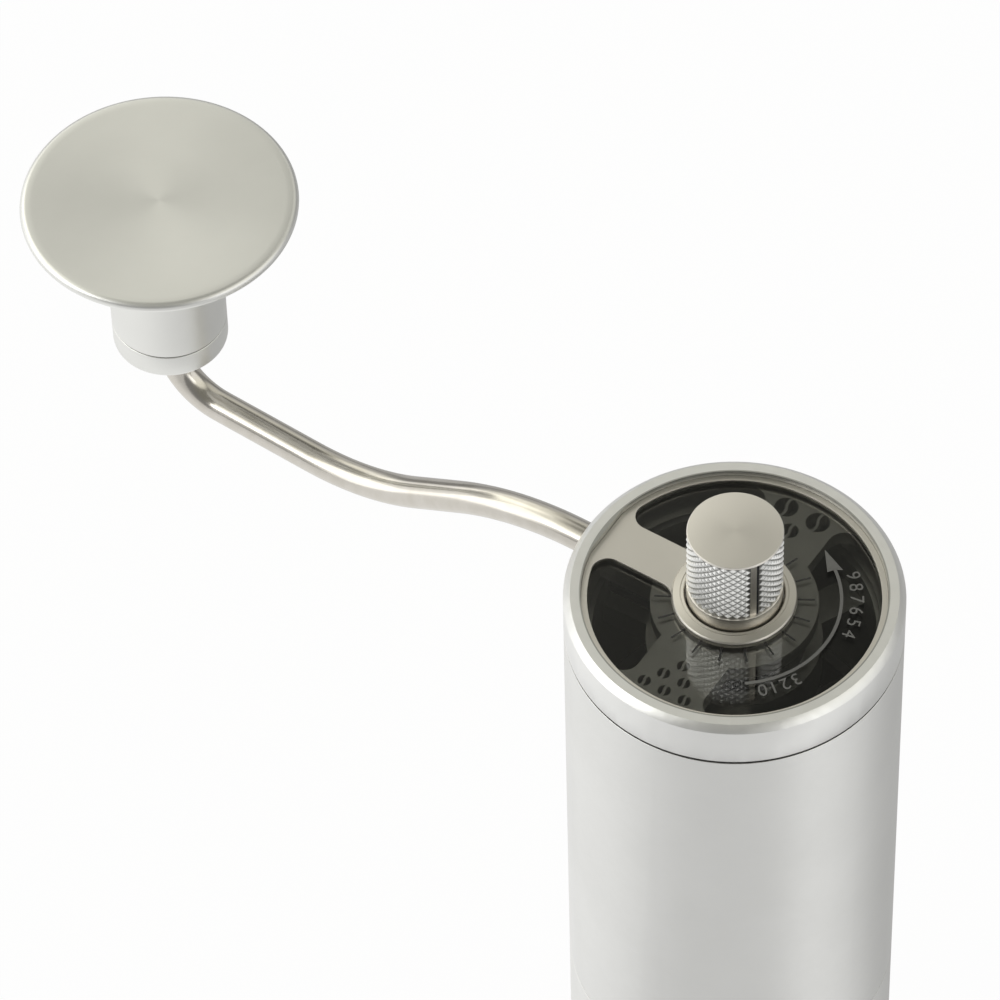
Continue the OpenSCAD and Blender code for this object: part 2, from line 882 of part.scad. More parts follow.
// Fillets between a spoke and the round hub of radius r
module hub_fillets(width, r, corner) {
  half = width / 2;
  reach = r + corner;
  centre = [sqrt(reach * reach - (half + corner) * (half + corner)), half + corner];
  for (side = [1, -1])
    scale([1, side])
      difference() {
        polygon([[0, 0], [centre[0], 0], centre]);
        translate(centre)
          circle(r = corner);
      }
}

// The solid part of the dial floor, seen from above
module dial_outline() {
  circle(r = hub_disc_r);
  for (az = bean_az)
    rotate(az)
      flared_spoke(spoke_w, open_r, corner_r);
  rotate(arm_az)
    flared_spoke(arm_spoke_w, open_r, corner_r - 1);
}

// A bean sign: a disc split by a wavy seam
module bean(r) {
  bulge = 0.9 * r;
  seam_r = sqrt(bulge * bulge + r * r / 4);
  difference() {
    circle(r = r);
    for (side = [1, -1])
      intersection() {
        translate([side * bulge, side * r / 2])
          difference() {
            circle(r = seam_r + bean_seam / 2);
            circle(r = seam_r - bean_seam / 2);
          }
        translate([-r, side > 0 ? 0 : -2 * r])
          square([2 * r, 2 * r]);
        circle(r = 2 * r);
      }
  }
}

// Three beans on the coarse side, six small ones on the fine side
module bean_signs() {
  fine_rows = 3;
  row_step = small_bean_pitch * 0.76;
  rotate(bean_az[0]) {
    for (side = [1, -1])
      translate([open_r - bean_edge, side * bean_pitch / 2])
        rotate(bean_tilt)
          bean(bean_r);
    translate([open_r - medium_bean_edge, 0])
      rotate(bean_tilt)
        bean(medium_bean_r);
  }
  rotate(bean_az[1])
    for (row = [0 : fine_rows - 1])
      for (k = [0 : row])
        translate([
          hub_disc_r + small_bean_edge + row * row_step,
          (k - row / 2) * small_bean_pitch
        ])
          rotate(bean_tilt)
            bean(small_bean_r);
}

module crank_head() {
  step = 1;
  rod_hole_r = arm_r + fit;
  color("silver")
    difference() {
      union() {
        // rim with its bevel
        difference() {
          union() {
            disc(body_r, z_head, z_edge);
            taper(body_r, body_r - bevel_w, z_edge, z_rim);
          }
          disc(open_r, z_head - cut, z_floor + cut);
          translate([0, 0, z_floor])
            linear_extrude(z_rim - z_floor + cut)
              recess_outline();
        }
        // dial floor with its bean signs
        translate([0, 0, z_ceiling])
          linear_extrude(floor_t)
            difference() {
              intersection() {
                dial_outline();
                circle(r = open_r + step);
              }
              bean_signs();
            }
        // boss for the arm
        intersection() {
          rotate(arm_az)
            translate([0, -arm_spoke_w / 2, z_boss])
              cube([open_r + step, arm_spoke_w, z_floor - z_boss]);
          union() {
            disc(boss_r, z_boss, z_floor);
            disc(open_r + step, z_head, z_floor);
          }
        }
        disc(lid_shoulder_r, z_bearing, z_floor);
        disc(lid_shank_r, z_shank, z_floor);
      }
      // bore for the adjusting knob and, from below, for the drive socket
      disc(knob_shank_r + fit, z_shank - cut, z_floor + cut);
      disc(socket_r, z_shank - cut, z_step);
      // hole for the arm, wide in the wall and narrow behind it
      translate([0, 0, z_arm])
        rotate([0, 0, arm_az])
          rotate([0, 90, 0]) {
            translate([0, 0, body_r - arm_socket - rod_lap - fit])
              cylinder(r = rod_hole_r, h = body_r);
            translate([0, 0, spigot_in - cut / 2])
              cylinder(r = spigot_d / 2 + fit, h = body_r);
          }
      // thread for the arm's screw, and the groove for the bearing clip
      arm_screw_place()
        disc(arm_screw_r, z_boss - cut, z_arm);
      ring(lid_shank_r + cut, lid_shank_r - clip_grip, z_bearing_low - clip_t - 2 * fit, z_bearing_low);
    }
}

module arm_screw_place() {
  rotate(arm_az)
    translate([(hub_disc_r + open_r) / 2, 0, 0])
      children();
}

module arm_screw() {
  hex_w = 1.5;
  sunk = 0.3;
  socket_depth = 1;
  color("dimgray")
    arm_screw_place()
      difference() {
        disc(arm_screw_r - fit, z_boss + sunk, z_arm - spigot_d / 2);
        hex_bar(hex_w, 2 * hex_w, z_boss - cut, z_boss + sunk + socket_depth);
      }
}

module dial_window() {
  color([0.45, 0.47, 0.46, 0.4])
    translate([0, 0, z_floor])
      linear_extrude(window_t)
        difference() {
          recess_outline(fit);
          circle(r = window_bore);
        }
}

// The flat plate of the frame around the collar: outer ring and bright spoke
module frame_outline() {
  difference() {
    recess_outline(fit);
    circle(r = open_r);
  }
  intersection() {
    rotate(arm_az) {
      flared_spoke(frame_spoke_w, open_r, corner_r);
      hub_fillets(frame_spoke_w, collar_r, corner_r);
    }
    recess_outline(fit);
  }
}

module dial_frame() {
  line_w = 0.15;
  line_depth = 0.12;
  z_collar = z_edge + collar_h;
  color("darkgray")
    difference() {
      union() {
        translate([0, 0, z_glass])
          linear_extrude(frame_t)
            frame_outline();
        disc(collar_r, z_glass, z_collar - collar_bevel);
        taper(collar_r, collar_r - collar_bevel, z_collar - collar_bevel, z_collar);
      }
      disc(collar_bore, z_glass - cut, z_collar + cut);
      taper(collar_bore, collar_bore + collar_bevel, z_collar - collar_bevel, z_collar);
      ring(collar_line_r + line_w / 2, collar_line_r - line_w / 2, z_collar - line_depth, z_collar + cut);
    }
}

module drive_socket() {
  color("dimgray")
    difference() {
      disc(socket_r - fit, z_shank, z_socket);
      translate([0, 0, -cut])
        hex_bar(flats_w + 2 * socket_gap, shaft_d + 2 * socket_gap, z_shank, z_socket + 2 * cut);
    }
}

// ---- adjusting knob and feed spindle ----

module adjusting_knob() {
  r = knob_d / 2;
  thread_end = 5;
  z_top = z_edge + knob_h;
  z_foot = z_floor + 2 * fit;
  groove_half = knob_ring_r + 3 * fit;
  color("lightgray")
    difference() {
      union() {
        disc(r, z_foot, z_top - knob_bevel);
        taper(r, r - knob_bevel, z_top - knob_bevel, z_top);
        disc(knob_shank_r, z_knob_shank, z_foot);
      }
      disc(thread_d / 2 + fit, z_knob_shank - cut, z_top - thread_end);
      rotate(pointer_az)
        translate([r - pointer_depth, -pointer_w / 2, z_edge + collar_h + knob_band_h])
          cube([r, pointer_w, knob_h]);
      ring(knob_shank_r + cut, knob_shank_r - clip_grip - fit, z_knob_clip - fit, z_knob_clip + clip_t + fit);
      ring(knob_shank_r + cut, knob_shank_r - 2 * knob_ring_r, z_knob_ring - groove_half, z_knob_ring + groove_half);
    }
}

module adjuster_clip() {
  rim = 0.9;
  color("dimgray")
    clip(knob_shank_r + rim, knob_shank_r - clip_grip, z_knob_clip, clip_t);
}

module adjuster_o_ring() {
  color("#222222")
    o_ring(knob_shank_r - knob_ring_r, knob_ring_r, z_knob_ring);
}

module feed_spindle() {
  thread_reach = 4;
  color("silver") {
    hex_bar(flats_w, shaft_d - 2 * fit, z_slug, z_slug_top);
    disc(thread_d / 2, z_slug_top, z_edge + thread_reach);
  }
}

// ---- crank arm ----

// A straight stretch of rod along +X that reaches a little into its neighbours; children start at its end
module rod_run(l) {
  rotate([0, 90, 0])
    translate([0, 0, -rod_lap])
      cylinder(r = arm_r, h = l + 2 * rod_lap);
  translate([l, 0, 0])
    children();
}

// A bend in the XZ plane; up is 1 or -1, and children start at its end
module rod_bend(r, a, up) {
  mirror([0, 0, up > 0 ? 0 : 1])
    translate([0, 0, r])
      rotate([90, 0, 0])
        rotate(-90)
          rotate_extrude(angle = a)
            translate([r, 0])
              circle(r = arm_r - bend_relief);
  translate([r * sin(a), 0, up * r * (1 - cos(a))])
    rotate([0, -up * a, 0])
      children();
}

module crank_arm() {
  z_groove = grip_clip_z();
  color("silver")
    difference() {
      rotate(arm_az)
        translate([body_r - arm_socket, 0, z_arm]) {
          translate([spigot_in - body_r + arm_socket, 0, 0])
            rotate([0, 90, 0])
              cylinder(r = spigot_d / 2, h = body_r - arm_socket - spigot_in);
          rod_run(arm_socket + arm_lead)
            rod_bend(bend_down_r, bend_down_a, -1)
              rod_run(arm_mid)
                rod_bend(bend_back_r, bend_back_a, 1)
                  rod_run(arm_out)
                    rod_bend(bend_up_r, 90 - arm_rise_a, 1)
                      rod_run(z_grip + axle_h - z_bend_end);
        }
      grip_place()
        ring(arm_r + cut, arm_r - clip_grip - fit, z_groove, z_groove + clip_t);
    }
}

module grip_place() {
  rotate(arm_az)
    translate([crank_r, 0, 0])
      children();
}

// The clip lies on top of the end ring's bush
function grip_clip_z() = z_low_bush + 0.3;

module grip_clip() {
  rim = 1.8;
  color("dimgray")
    grip_place()
      clip(arm_r + rim, arm_r - clip_grip, grip_clip_z(), clip_t);
}

// ---- grip ----

// The grip above its end ring, on its own axis
module grip_form() {
  z0 = z_grip + end_ring_h;
  z_under = z_grip_top - 2 * grip_edge_r;
  z_flare = z_under - flare_r;
  flare_far = stem_r + flare_r;
  disc(stem_r, z0, z_grip_top);
  disc(grip_r - grip_edge_r, z_under, z_grip_top);
  o_ring(grip_r - grip_edge_r, grip_edge_r, z_grip_top - grip_edge_r);
  difference() {
    disc(flare_far, z_flare, z_under + grip_edge_r);
    o_ring(flare_far, flare_r, z_flare);
  }
}

// The shallow hollow turned into the top face
module dish_cut() {
  dish_r = grip_r - 2 * grip_edge_r;
  taper(dish_r / 4, dish_r, z_grip_top - dish_depth, z_grip_top);
  disc(dish_r, z_grip_top, z_grip_top + cut);
}

module grip_knob() {
  end_gap = 2;
  color("silver")
    grip_place()
      difference() {
        grip_form();
        dish_cut();
        // blind bore for the upper bush, wide seat for the end ring's neck
        disc(bush_r, z_grip - cut, z_grip + axle_h + end_gap);
        disc(ring_neck_r, z_grip - cut, z_neck);
      }
}

module grip_end_ring() {
  seam = 0.15;
  clip_room = 2.6;
  color("silver")
    grip_place()
      difference() {
        union() {
          disc(stem_r, z_grip, z_grip + end_ring_h - seam);
          disc(ring_neck_r - fit, z_grip, z_neck - fit);
        }
        disc(bush_r, z_grip - cut, z_low_bush);
        disc(arm_r + clip_room, z_low_bush, z_neck + cut);
      }
}

module lower_grip_bush() {
  sunk = 0.3;
  color("whitesmoke")
    grip_place()
      ring(bush_r - fit, arm_r + fit, z_grip + sunk, z_low_bush);
}

module upper_grip_bush() {
  bush_l = 10;
  color("whitesmoke")
    grip_place()
      ring(bush_r - fit, arm_r + fit, z_grip + axle_h - bush_l, z_grip + axle_h);
}

body_tube();
upper_bridge();
burr_carrier();
ring_burr();
ring_burr_screws();
upper_bearing_outer();
upper_bearing_inner();
upper_bearing_balls();
lower_bearing_outer();
lower_bearing_inner();
lower_bearing_balls();
return_spring();
spring_seat();
thrust_washer();
shaft_clip();
drive_shaft();
cone_burr();
burr_washer();
burr_screw();
catch_cup();
cup_o_ring();
foot_pad();
lid_carrier();
lid_o_ring();
lid_bearing_outer();
lid_bearing_inner();
lid_bearing_balls();
lid_bearing_clip();
crank_head();
dial_window();
dial_frame();
drive_socket();
adjusting_knob();
adjuster_clip();
adjuster_o_ring();
feed_spindle();
crank_arm();
arm_screw();
grip_clip();
grip_knob();
grip_end_ring();
upper_grip_bush();
lower_grip_bush();
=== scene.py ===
import json
import math

import bmesh
import bpy
from mathutils import Matrix, Vector


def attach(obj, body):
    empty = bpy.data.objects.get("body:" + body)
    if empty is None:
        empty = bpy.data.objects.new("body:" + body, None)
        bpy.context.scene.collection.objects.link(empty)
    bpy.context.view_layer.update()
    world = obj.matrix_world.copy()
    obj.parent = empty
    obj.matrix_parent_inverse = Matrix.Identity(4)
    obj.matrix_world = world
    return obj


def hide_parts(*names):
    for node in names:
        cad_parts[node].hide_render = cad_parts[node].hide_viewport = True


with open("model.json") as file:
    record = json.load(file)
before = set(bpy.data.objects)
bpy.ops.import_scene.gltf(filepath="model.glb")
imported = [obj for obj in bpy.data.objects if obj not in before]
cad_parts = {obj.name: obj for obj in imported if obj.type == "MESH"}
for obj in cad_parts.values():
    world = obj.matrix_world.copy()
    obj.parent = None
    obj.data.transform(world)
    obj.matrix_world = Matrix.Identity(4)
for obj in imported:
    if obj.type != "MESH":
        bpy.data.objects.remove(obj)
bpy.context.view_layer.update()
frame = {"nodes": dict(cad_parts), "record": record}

MM = 0.001

# ---- sizes in millimetres and directions in degrees, as in the CAD unless a comment says otherwise ----

# Body and cup
BODY_R = 30.0
TUBE_R = 27.0
TUBE_LOW = 56.3
# 0.3 lower than in the CAD, so that the seam under the head stays dark
TUBE_TOP = 151.35
SEAT_R = 28.0
SEAT_Z = 140.15
CUP_TOP = 56.0
CUP_LOW = 0.6
CUP_FLOOR = 4.5
CUP_BEVEL = 0.8
PAD_R = 27.9
PAD_POCKET_R = 28.0
PAD_T = 2.0

# Head and dial
HEAD_LOW = 151.95
EDGE_Z = 160.0
GLASS_Z = 159.5
FLOOR_Z = 158.6
RECESS_R = 26.9
KEY_X = 26.4
WINDOW_BORE = 8.9
# The pane stays clear of the recess's wall and floor, and a little under the frame's plane
WINDOW_INSET = 0.08
WINDOW_LIFT = 0.06
WINDOW_DROP = 0.04
COLLAR_R = 11.05
# The collar's top falls away from the crest outwards by this slope, but stays this high over the edge
COLLAR_CREST_R = 9.0
COLLAR_SLOPE = 0.26
COLLAR_WALL = 0.25

# Adjusting knob
KNOB_R = 8.5
KNOB_FOOT = 158.7
KNOB_TOP = 178.7
KNOB_ROOF = 5.0
KNOB_BORE_R = 3.05
KNOB_BEVEL = 0.4
# Narrower than in the CAD
KNOB_BEVEL_W = 0.15
SHANK_R = 5.5
SHANK_LOW = 146.9
# The core lies this far inside the knurled sleeve
CORE_INSET = 0.6
KNURL_LOW = 164.05
# The knurl is in the visual model only
KNURL_TEETH = 33
KNURL_DEPTH = 0.36
KNURL_ROW = 0.77
POINTER_AZ = -68.0
POINTER_W = 1.8
# 0.1 deeper than in the CAD
POINTER_DEPTH = 0.5
# Share of the groove's half width at which the painted shadow on its one side starts
POINTER_SHADOW_START = 0.62

# Crank arm
ARM_AZ = 145.5
CRANK_R = 120.3
ARM_R = 2.9
ARM_Z = 155.3
ARM_SOCKET = 2.5
ARM_LEAD = 2.5
BEND_DOWN_R = 53.0
BEND_DOWN_A = 28.4
ARM_MID = 11.0
BEND_BACK_R = 41.5
ARM_RISE_A = 4.0
BEND_UP_R = 11.0
BEND_STEP = 2
AXLE_TOP = 178.95
ARM_SIDES = 40
# Length of rod, in millimetres, to one unit of its UV map
ARM_UV_LENGTH = 20

# Grip
GRIP_R = 24.8
GRIP_EDGE_R = 1.1
GRIP_LOW = 154.95
GRIP_TOP = 191.85
GRIP_BORE_R = 4.35
GRIP_BORE_H = 26
STEM_R = 10.45
FLARE_R = 12.0
DISH_DEPTH = 0.25
END_RING_H = 5.2
END_RING_GAP = 0.15
END_RING_SPIGOT_H = 3
END_RING_BORE_R = 5.5
END_RING_WALL = 2
END_RING_FIT = 0.05

# Marks on the window: how far they stand over GLASS_Z, and how far they reach under it
PRINT_T = 0.03
PRINT_ROOT = 0.05
TICK_R0 = 10.9
TICK_R1 = 14.1
TICK_W = 0.3
TICK_STEP = 20.0
TICK_AZ = 16.0
ARROW_R = 18.7
ARROW_W = 0.6
ARROW_START = -87.0
ARROW_END = 17.0
ARROW_STEPS = 60
ARROW_HEAD = ((19.3, 5.3), (16.3, 10.0), (16.5, 5.0), (17.9, 5.5))
DIGIT_SIZE = 3.5
# Radius of a row of digits, and the direction of each
DIGIT_ROWS = (
    (20.5, (("0", -79.0), ("1", -73.5), ("2", -67.5), ("3", -61.5))),
    (21.3, (("4", -24.0), ("5", -17.0), ("6", -10.0), ("7", -3.0), ("8", 4.0), ("9", 11.0))),
)

# How a smooth surface is told from an edge, and how edges are rounded
SMOOTH_ANGLE = 28.0
EASE_ANGLE = 30.0
EASE_SEGMENTS = 2
EASED_NODES = (("lid_carrier", 0.25), ("crank_head", 0.16))
FRAME_EASE = 0.05
MERGE = 1e-6
CORNER_STEPS = 3
# A rounded corner takes up no more than this share of a side
CORNER_SHARE = 0.45
# A turn of a lathed outline closer to a straight line than this is no corner
STRAIGHT_ANGLE = 176


# ---- colours ----

# Painted shade on the head's recess wall over the window, and on a thin ring of the rim's flat next to it
RECESS_WALL_PAINTED_SHADE = (0.42, 0.42, 0.40)
# Painted shadow on the head's underside, over the seam
UNDERSIDE_PAINTED_SHADOW = (0.04, 0.04, 0.04)
# Painted shade on the frame's collar top, which is the same steel as the rest of the frame
COLLAR_PAINTED_SHADE = (0.52, 0.50, 0.45)
STEEL = (0.82, 0.79, 0.73)
STEEL_DARK = (0.79, 0.76, 0.70)


# ---- studio: metres and degrees ----

# Pale screens around a dim room: azimuth, elevation, inner and outer half-angle, and strength
ROOM = 0.26
SCREENS = (
    (170, 20, 38, 51, 0.82),
    (-22, 30, 22, 38, 0.85),
    (125, 41, 10, 31, 0.92),
    (50, 42, 10, 30, 0.46),
    (90, 25, 8, 26, 0.35),
    (88, 52, 6, 13, -0.26),
)
# Colour of the room's light from the sides and from above
SIDE_LIGHT = (1.0, 1.0, 0.99)
HIGH_LIGHT = (1.0, 0.99, 0.90)
# The floor: it glows by direction from the object, in the same way as the room
FLOOR_GLOW = 0.96
FLOOR_ROOM = 0.50
FLOOR_SCREENS = (
    (165, 0, 10, 75, 0.50),
    (-85, 0, 30, 75, 0.20),
    (-30, 0, 6, 38, 0.27),
)
FLOOR_HALF = 6.0
FLOOR_DROP = 0.05 * MM
# Lamps: name, place, target, size and power
LAMPS = (
    ("key_left", (-0.95, -0.1, 0.6), (0, 0, 0.12), (0.7, 0.9), 1.6),
    ("fill_right", (0.62, -0.78, 0.5), (0, 0, 0.1), (0.35, 0.7), 0.7),
    ("front_left", (-0.95, -0.55, 0.75), (0, 0, 0.12), (0.35, 0.35), 0.9),
)
CAMERA_PLACE = (-0.04043, -0.73510, 1.12368)
CAMERA_RIGHT = (0.99951, -0.02469, -0.01942)
CAMERA_DOWN = (-0.031416, -0.78562, -0.61800)
CAMERA_LENS = 249.73
CAMERA_SENSOR = 36.0
CAMERA_CLIP = (0.05, 20)


# ---- mesh helpers ----

def new_object(name, bm_or_mesh, body):
    """An object of a bmesh or mesh, in metres, that rides on a body."""
    mesh = bm_or_mesh
    if isinstance(bm_or_mesh, bmesh.types.BMesh):
        mesh = bpy.data.meshes.new(name)
        bm_or_mesh.to_mesh(mesh)
        bm_or_mesh.free()
    obj = bpy.data.objects.new(name, mesh)
    bpy.context.scene.collection.objects.link(obj)
    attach(obj, body)
    return obj


def smooth(obj):
    """Shades obj smooth, apart from its edges."""
    obj.data.shade_smooth()
    obj.data.set_sharp_from_angle(angle=math.radians(SMOOTH_ANGLE))


def dress(obj, material):
    obj.data.materials.clear()
    obj.data.materials.append(material)


def ease(obj, width):
    """Rounds the sharp edges of obj with modifiers."""
    weld = obj.modifiers.new("weld", "WELD")
    weld.merge_threshold = MERGE
    bevel = obj.modifiers.new("ease", "BEVEL")
    bevel.width = width * MM
    bevel.segments = EASE_SEGMENTS
    bevel.limit_method = "ANGLE"
    bevel.angle_limit = math.radians(EASE_ANGLE)
    bevel.harden_normals = True


def polar(r, az):
    """The place at a distance and azimuth from the vertical axis."""
    return (r * math.cos(math.radians(az)), r * math.sin(math.radians(az)))


def vertex(bm, x, y, z):
    """A new vertex at a place in millimetres."""
    return bm.verts.new((x * MM, y * MM, z * MM))


def arc(cx, cz, r, a0, a1, n):
    """Points on a circle from angle a0 to a1, in degrees, in n steps."""
    return [
        (cx + r * math.cos(math.radians(a0 + (a1 - a0) * i / n)),
         cz + r * math.sin(math.radians(a0 + (a1 - a0) * i / n)))
        for i in range(n + 1)
    ]


def eased(points, r):
    """The closed outline with each corner rounded to radius r, or less on a short side.

    A point may carry its own radius as a third number.
    """
    out = []
    count = len(points)
    for i, p in enumerate(points):
        corner = p[2] if len(p) > 2 else r
        here = Vector(p[:2])
        before = Vector(points[i - 1][:2]) - here
        after = Vector(points[(i + 1) % count][:2]) - here
        turn = before.angle(after)
        if corner <= 0 or turn > math.radians(STRAIGHT_ANGLE):
            out.append(tuple(here))
            continue
        back = min(corner / math.tan(turn / 2), before.length * CORNER_SHARE, after.length * CORNER_SHARE)
        a = here + before.normalized() * back
        b = here + after.normalized() * back
        for k in range(CORNER_STEPS + 1):
            t = k / CORNER_STEPS
            out.append(tuple(a * (1 - t) ** 2 + here * 2 * t * (1 - t) + b * t * t))
    return out


def lathe(name, outline, body, segments=160, centre=(0, 0)):
    """A closed outline of (radius, height) in mm turned about the vertical line through centre."""
    bm = bmesh.new()
    rings = []
    for r, z in outline:
        if r < MERGE:
            rings.append([vertex(bm, *centre, z)])
            continue
        rings.append([
            vertex(
                bm,
                centre[0] + r * math.cos(2 * math.pi * k / segments),
                centre[1] + r * math.sin(2 * math.pi * k / segments),
                z,
            )
            for k in range(segments)
        ])
    for i, a in enumerate(rings):
        b = rings[(i + 1) % len(rings)]
        for k in range(segments):
            n = (k + 1) % segments
            if len(a) == 1 and len(b) == 1:
                continue
            if len(a) == 1:
                bm.faces.new((a[0], b[n], b[k]))
            elif len(b) == 1:
                bm.faces.new((a[k], a[n], b[0]))
            else:
                bm.faces.new((a[k], a[n], b[n], b[k]))
    bmesh.ops.recalc_face_normals(bm, faces=bm.faces[:])
    obj = new_object(name, bm, body)
    smooth(obj)
    return obj


# ---- materials ----

class Nodes:
    """The node tree of a material or of the world, with short ways to add nodes."""

    def __init__(self, name, world=False):
        self.material = (bpy.data.worlds if world else bpy.data.materials).new(name)
        self.material.use_nodes = True
        self.tree = self.material.node_tree
        self.tree.nodes.clear()
        self.output = self.add("ShaderNodeOutputWorld" if world else "ShaderNodeOutputMaterial")

    def add(self, kind, **values):
        node = self.tree.nodes.new(kind)
        for key, value in values.items():
            if hasattr(node, key):
                setattr(node, key, value)
            else:
                node.inputs[key.replace("_", " ")].default_value = value
        return node

    def link(self, a, b):
        self.tree.links.new(a, b)

    def principled(self, base, rough, metallic=1.0, **more):
        node = self.add("ShaderNodeBsdfPrincipled")
        node.inputs["Base Color"].default_value = (*base, 1)
        node.inputs["Roughness"].default_value = rough
        node.inputs["Metallic"].default_value = metallic
        for key, value in more.items():
            node.inputs[key.replace("_", " ")].default_value = value
        self.link(node.outputs["BSDF"], self.output.inputs["Surface"])
        return node

    def coords(self, centre=(0, 0, 0)):
        """Object coordinates in millimetres from a centre, which is given in metres."""
        source = self.add("ShaderNodeTexCoord")
        mapping = self.add("ShaderNodeMapping")
        mapping.inputs["Location"].default_value = tuple(-c / MM for c in centre)
        mapping.inputs["Scale"].default_value = (1 / MM, 1 / MM, 1 / MM)
        self.link(source.outputs["Object"], mapping.inputs["Vector"])
        return mapping.outputs["Vector"]

    def noise(self, vector, scale, detail=3.0, rough=0.5):
        node = self.add("ShaderNodeTexNoise")
        node.inputs["Scale"].default_value = scale
        node.inputs["Detail"].default_value = detail
        node.inputs["Roughness"].default_value = rough
        self.link(vector, node.inputs["Vector"])
        return node.outputs["Fac"]

    def spread(self, value, low, high, at=(0.3, 0.7)):
        """Maps a value to a range of numbers."""
        node = self.add("ShaderNodeMapRange")
        node.inputs["From Min"].default_value = at[0]
        node.inputs["From Max"].default_value = at[1]
        node.inputs["To Min"].default_value = low
        node.inputs["To Max"].default_value = high
        self.link(value, node.inputs["Value"])
        return node.outputs["Result"]

    def tint(self, value, dark, light, at=(0.3, 0.7)):
        """Maps a value to a range of colours."""
        node = self.add("ShaderNodeValToRGB")
        ramp = node.color_ramp
        ramp.elements[0].position = at[0]
        ramp.elements[0].color = (*dark, 1)
        ramp.elements[1].position = at[1]
        ramp.elements[1].color = (*light, 1)
        self.link(value, node.inputs["Fac"])
        return node.outputs["Color"]

    def mixed(self, share, colour, other):
        """A colour that goes over to another, plain one."""
        node = self.add("ShaderNodeMix", data_type="RGBA")
        self.link(share, node.inputs[0])
        self.link(colour, node.inputs[6])
        node.inputs[7].default_value = (*other, 1)
        return node.outputs[2]

    def bump(self, shader, height, strength, distance):
        node = self.add("ShaderNodeBump")
        node.inputs["Strength"].default_value = strength
        node.inputs["Distance"].default_value = distance * MM
        self.link(height, node.inputs["Height"])
        self.link(node.outputs["Normal"], shader.inputs["Normal"])

    def radius(self, vector):
        """Distance from the vertical axis of a coordinate."""
        flat = self.add("ShaderNodeVectorMath", operation="MULTIPLY")
        flat.inputs[1].default_value = (1, 1, 0)
        length = self.add("ShaderNodeVectorMath", operation="LENGTH")
        self.link(vector, flat.inputs[0])
        self.link(flat.outputs["Vector"], length.inputs[0])
        return length.outputs["Value"]

    def height(self, vector):
        split = self.add("ShaderNodeSeparateXYZ")
        self.link(vector, split.inputs[0])
        return split.outputs["Z"]

    def math(self, operation, a, b):
        node = self.add("ShaderNodeMath", operation=operation)
        for value, socket in zip((a, b), node.inputs):
            if isinstance(value, (int, float)):
                socket.default_value = value
            else:
                self.link(value, socket)
        return node.outputs["Value"]

    def seen(self, path):
        """1 for a ray from the camera, off a mirror or through glass."""
        direct = self.math("MAXIMUM", path.outputs["Is Camera Ray"], path.outputs["Is Glossy Ray"])
        return self.math("MAXIMUM", direct, path.outputs["Is Transmission Ray"])

    def screens(self, way, level, rows):
        """Brightness by direction: a plain level with softly edged screens on it."""
        for az, el, inner, outer, strength in rows:
            x, y = polar(math.cos(math.radians(el)), az)
            near = self.add("ShaderNodeVectorMath", operation="DOT_PRODUCT")
            near.inputs[1].default_value = (x, y, math.sin(math.radians(el)))
            self.link(way, near.inputs[0])
            edge = self.add("ShaderNodeMapRange", interpolation_type="SMOOTHSTEP")
            edge.inputs["From Min"].default_value = math.cos(math.radians(outer))
            edge.inputs["From Max"].default_value = math.cos(math.radians(inner))
            edge.inputs["To Max"].default_value = strength
            self.link(near.outputs["Value"], edge.inputs["Value"])
            level = self.math("ADD", edge.outputs["Result"], level)
        return level

    def pair(self, a, b):
        join = self.add("ShaderNodeCombineXYZ")
        self.link(a, join.inputs["X"])
        self.link(b, join.inputs["Y"])
        return join.outputs["Vector"]


def blasted(name, light, dark, rough, wall=False):
    """Bead-blasted and anodised aluminium: an even fine grain.

    With wall, as on the head, painted shade darkens the narrow wall over the window, and a painted shadow darkens
    the underside.
    """
    m = Nodes(name)
    at = m.coords()
    shader = m.principled(light, rough)
    colour = m.tint(m.noise(at, 0.05, 2), dark, light)
    if wall:
        # Painted shade: the wall over the window, and a thin ring inside the rim's edge, get a darker colour
        inside = m.spread(m.radius(at), 1, 0, (RECESS_R + 0.2, RECESS_R + 0.32))
        above = m.spread(m.height(at), 0, 1, (GLASS_Z + 0.05, GLASS_Z + 0.1))
        colour = m.mixed(m.math("MULTIPLY", inside, above), colour, RECESS_WALL_PAINTED_SHADE)
        # Painted shadow: the head's underside, over the seam, is near black
        under = m.spread(m.height(at), 1, 0, (HEAD_LOW + 0.01, HEAD_LOW + 0.04))
        colour = m.mixed(under, colour, UNDERSIDE_PAINTED_SHADOW)
    m.link(colour, shader.inputs["Base Color"])
    m.link(m.spread(m.noise(at, 0.6, 4), rough - 0.03, rough + 0.03), shader.inputs["Roughness"])
    m.bump(shader, m.noise(at, 9.0, 3, 0.7), 0.25, 0.02)
    return m.material


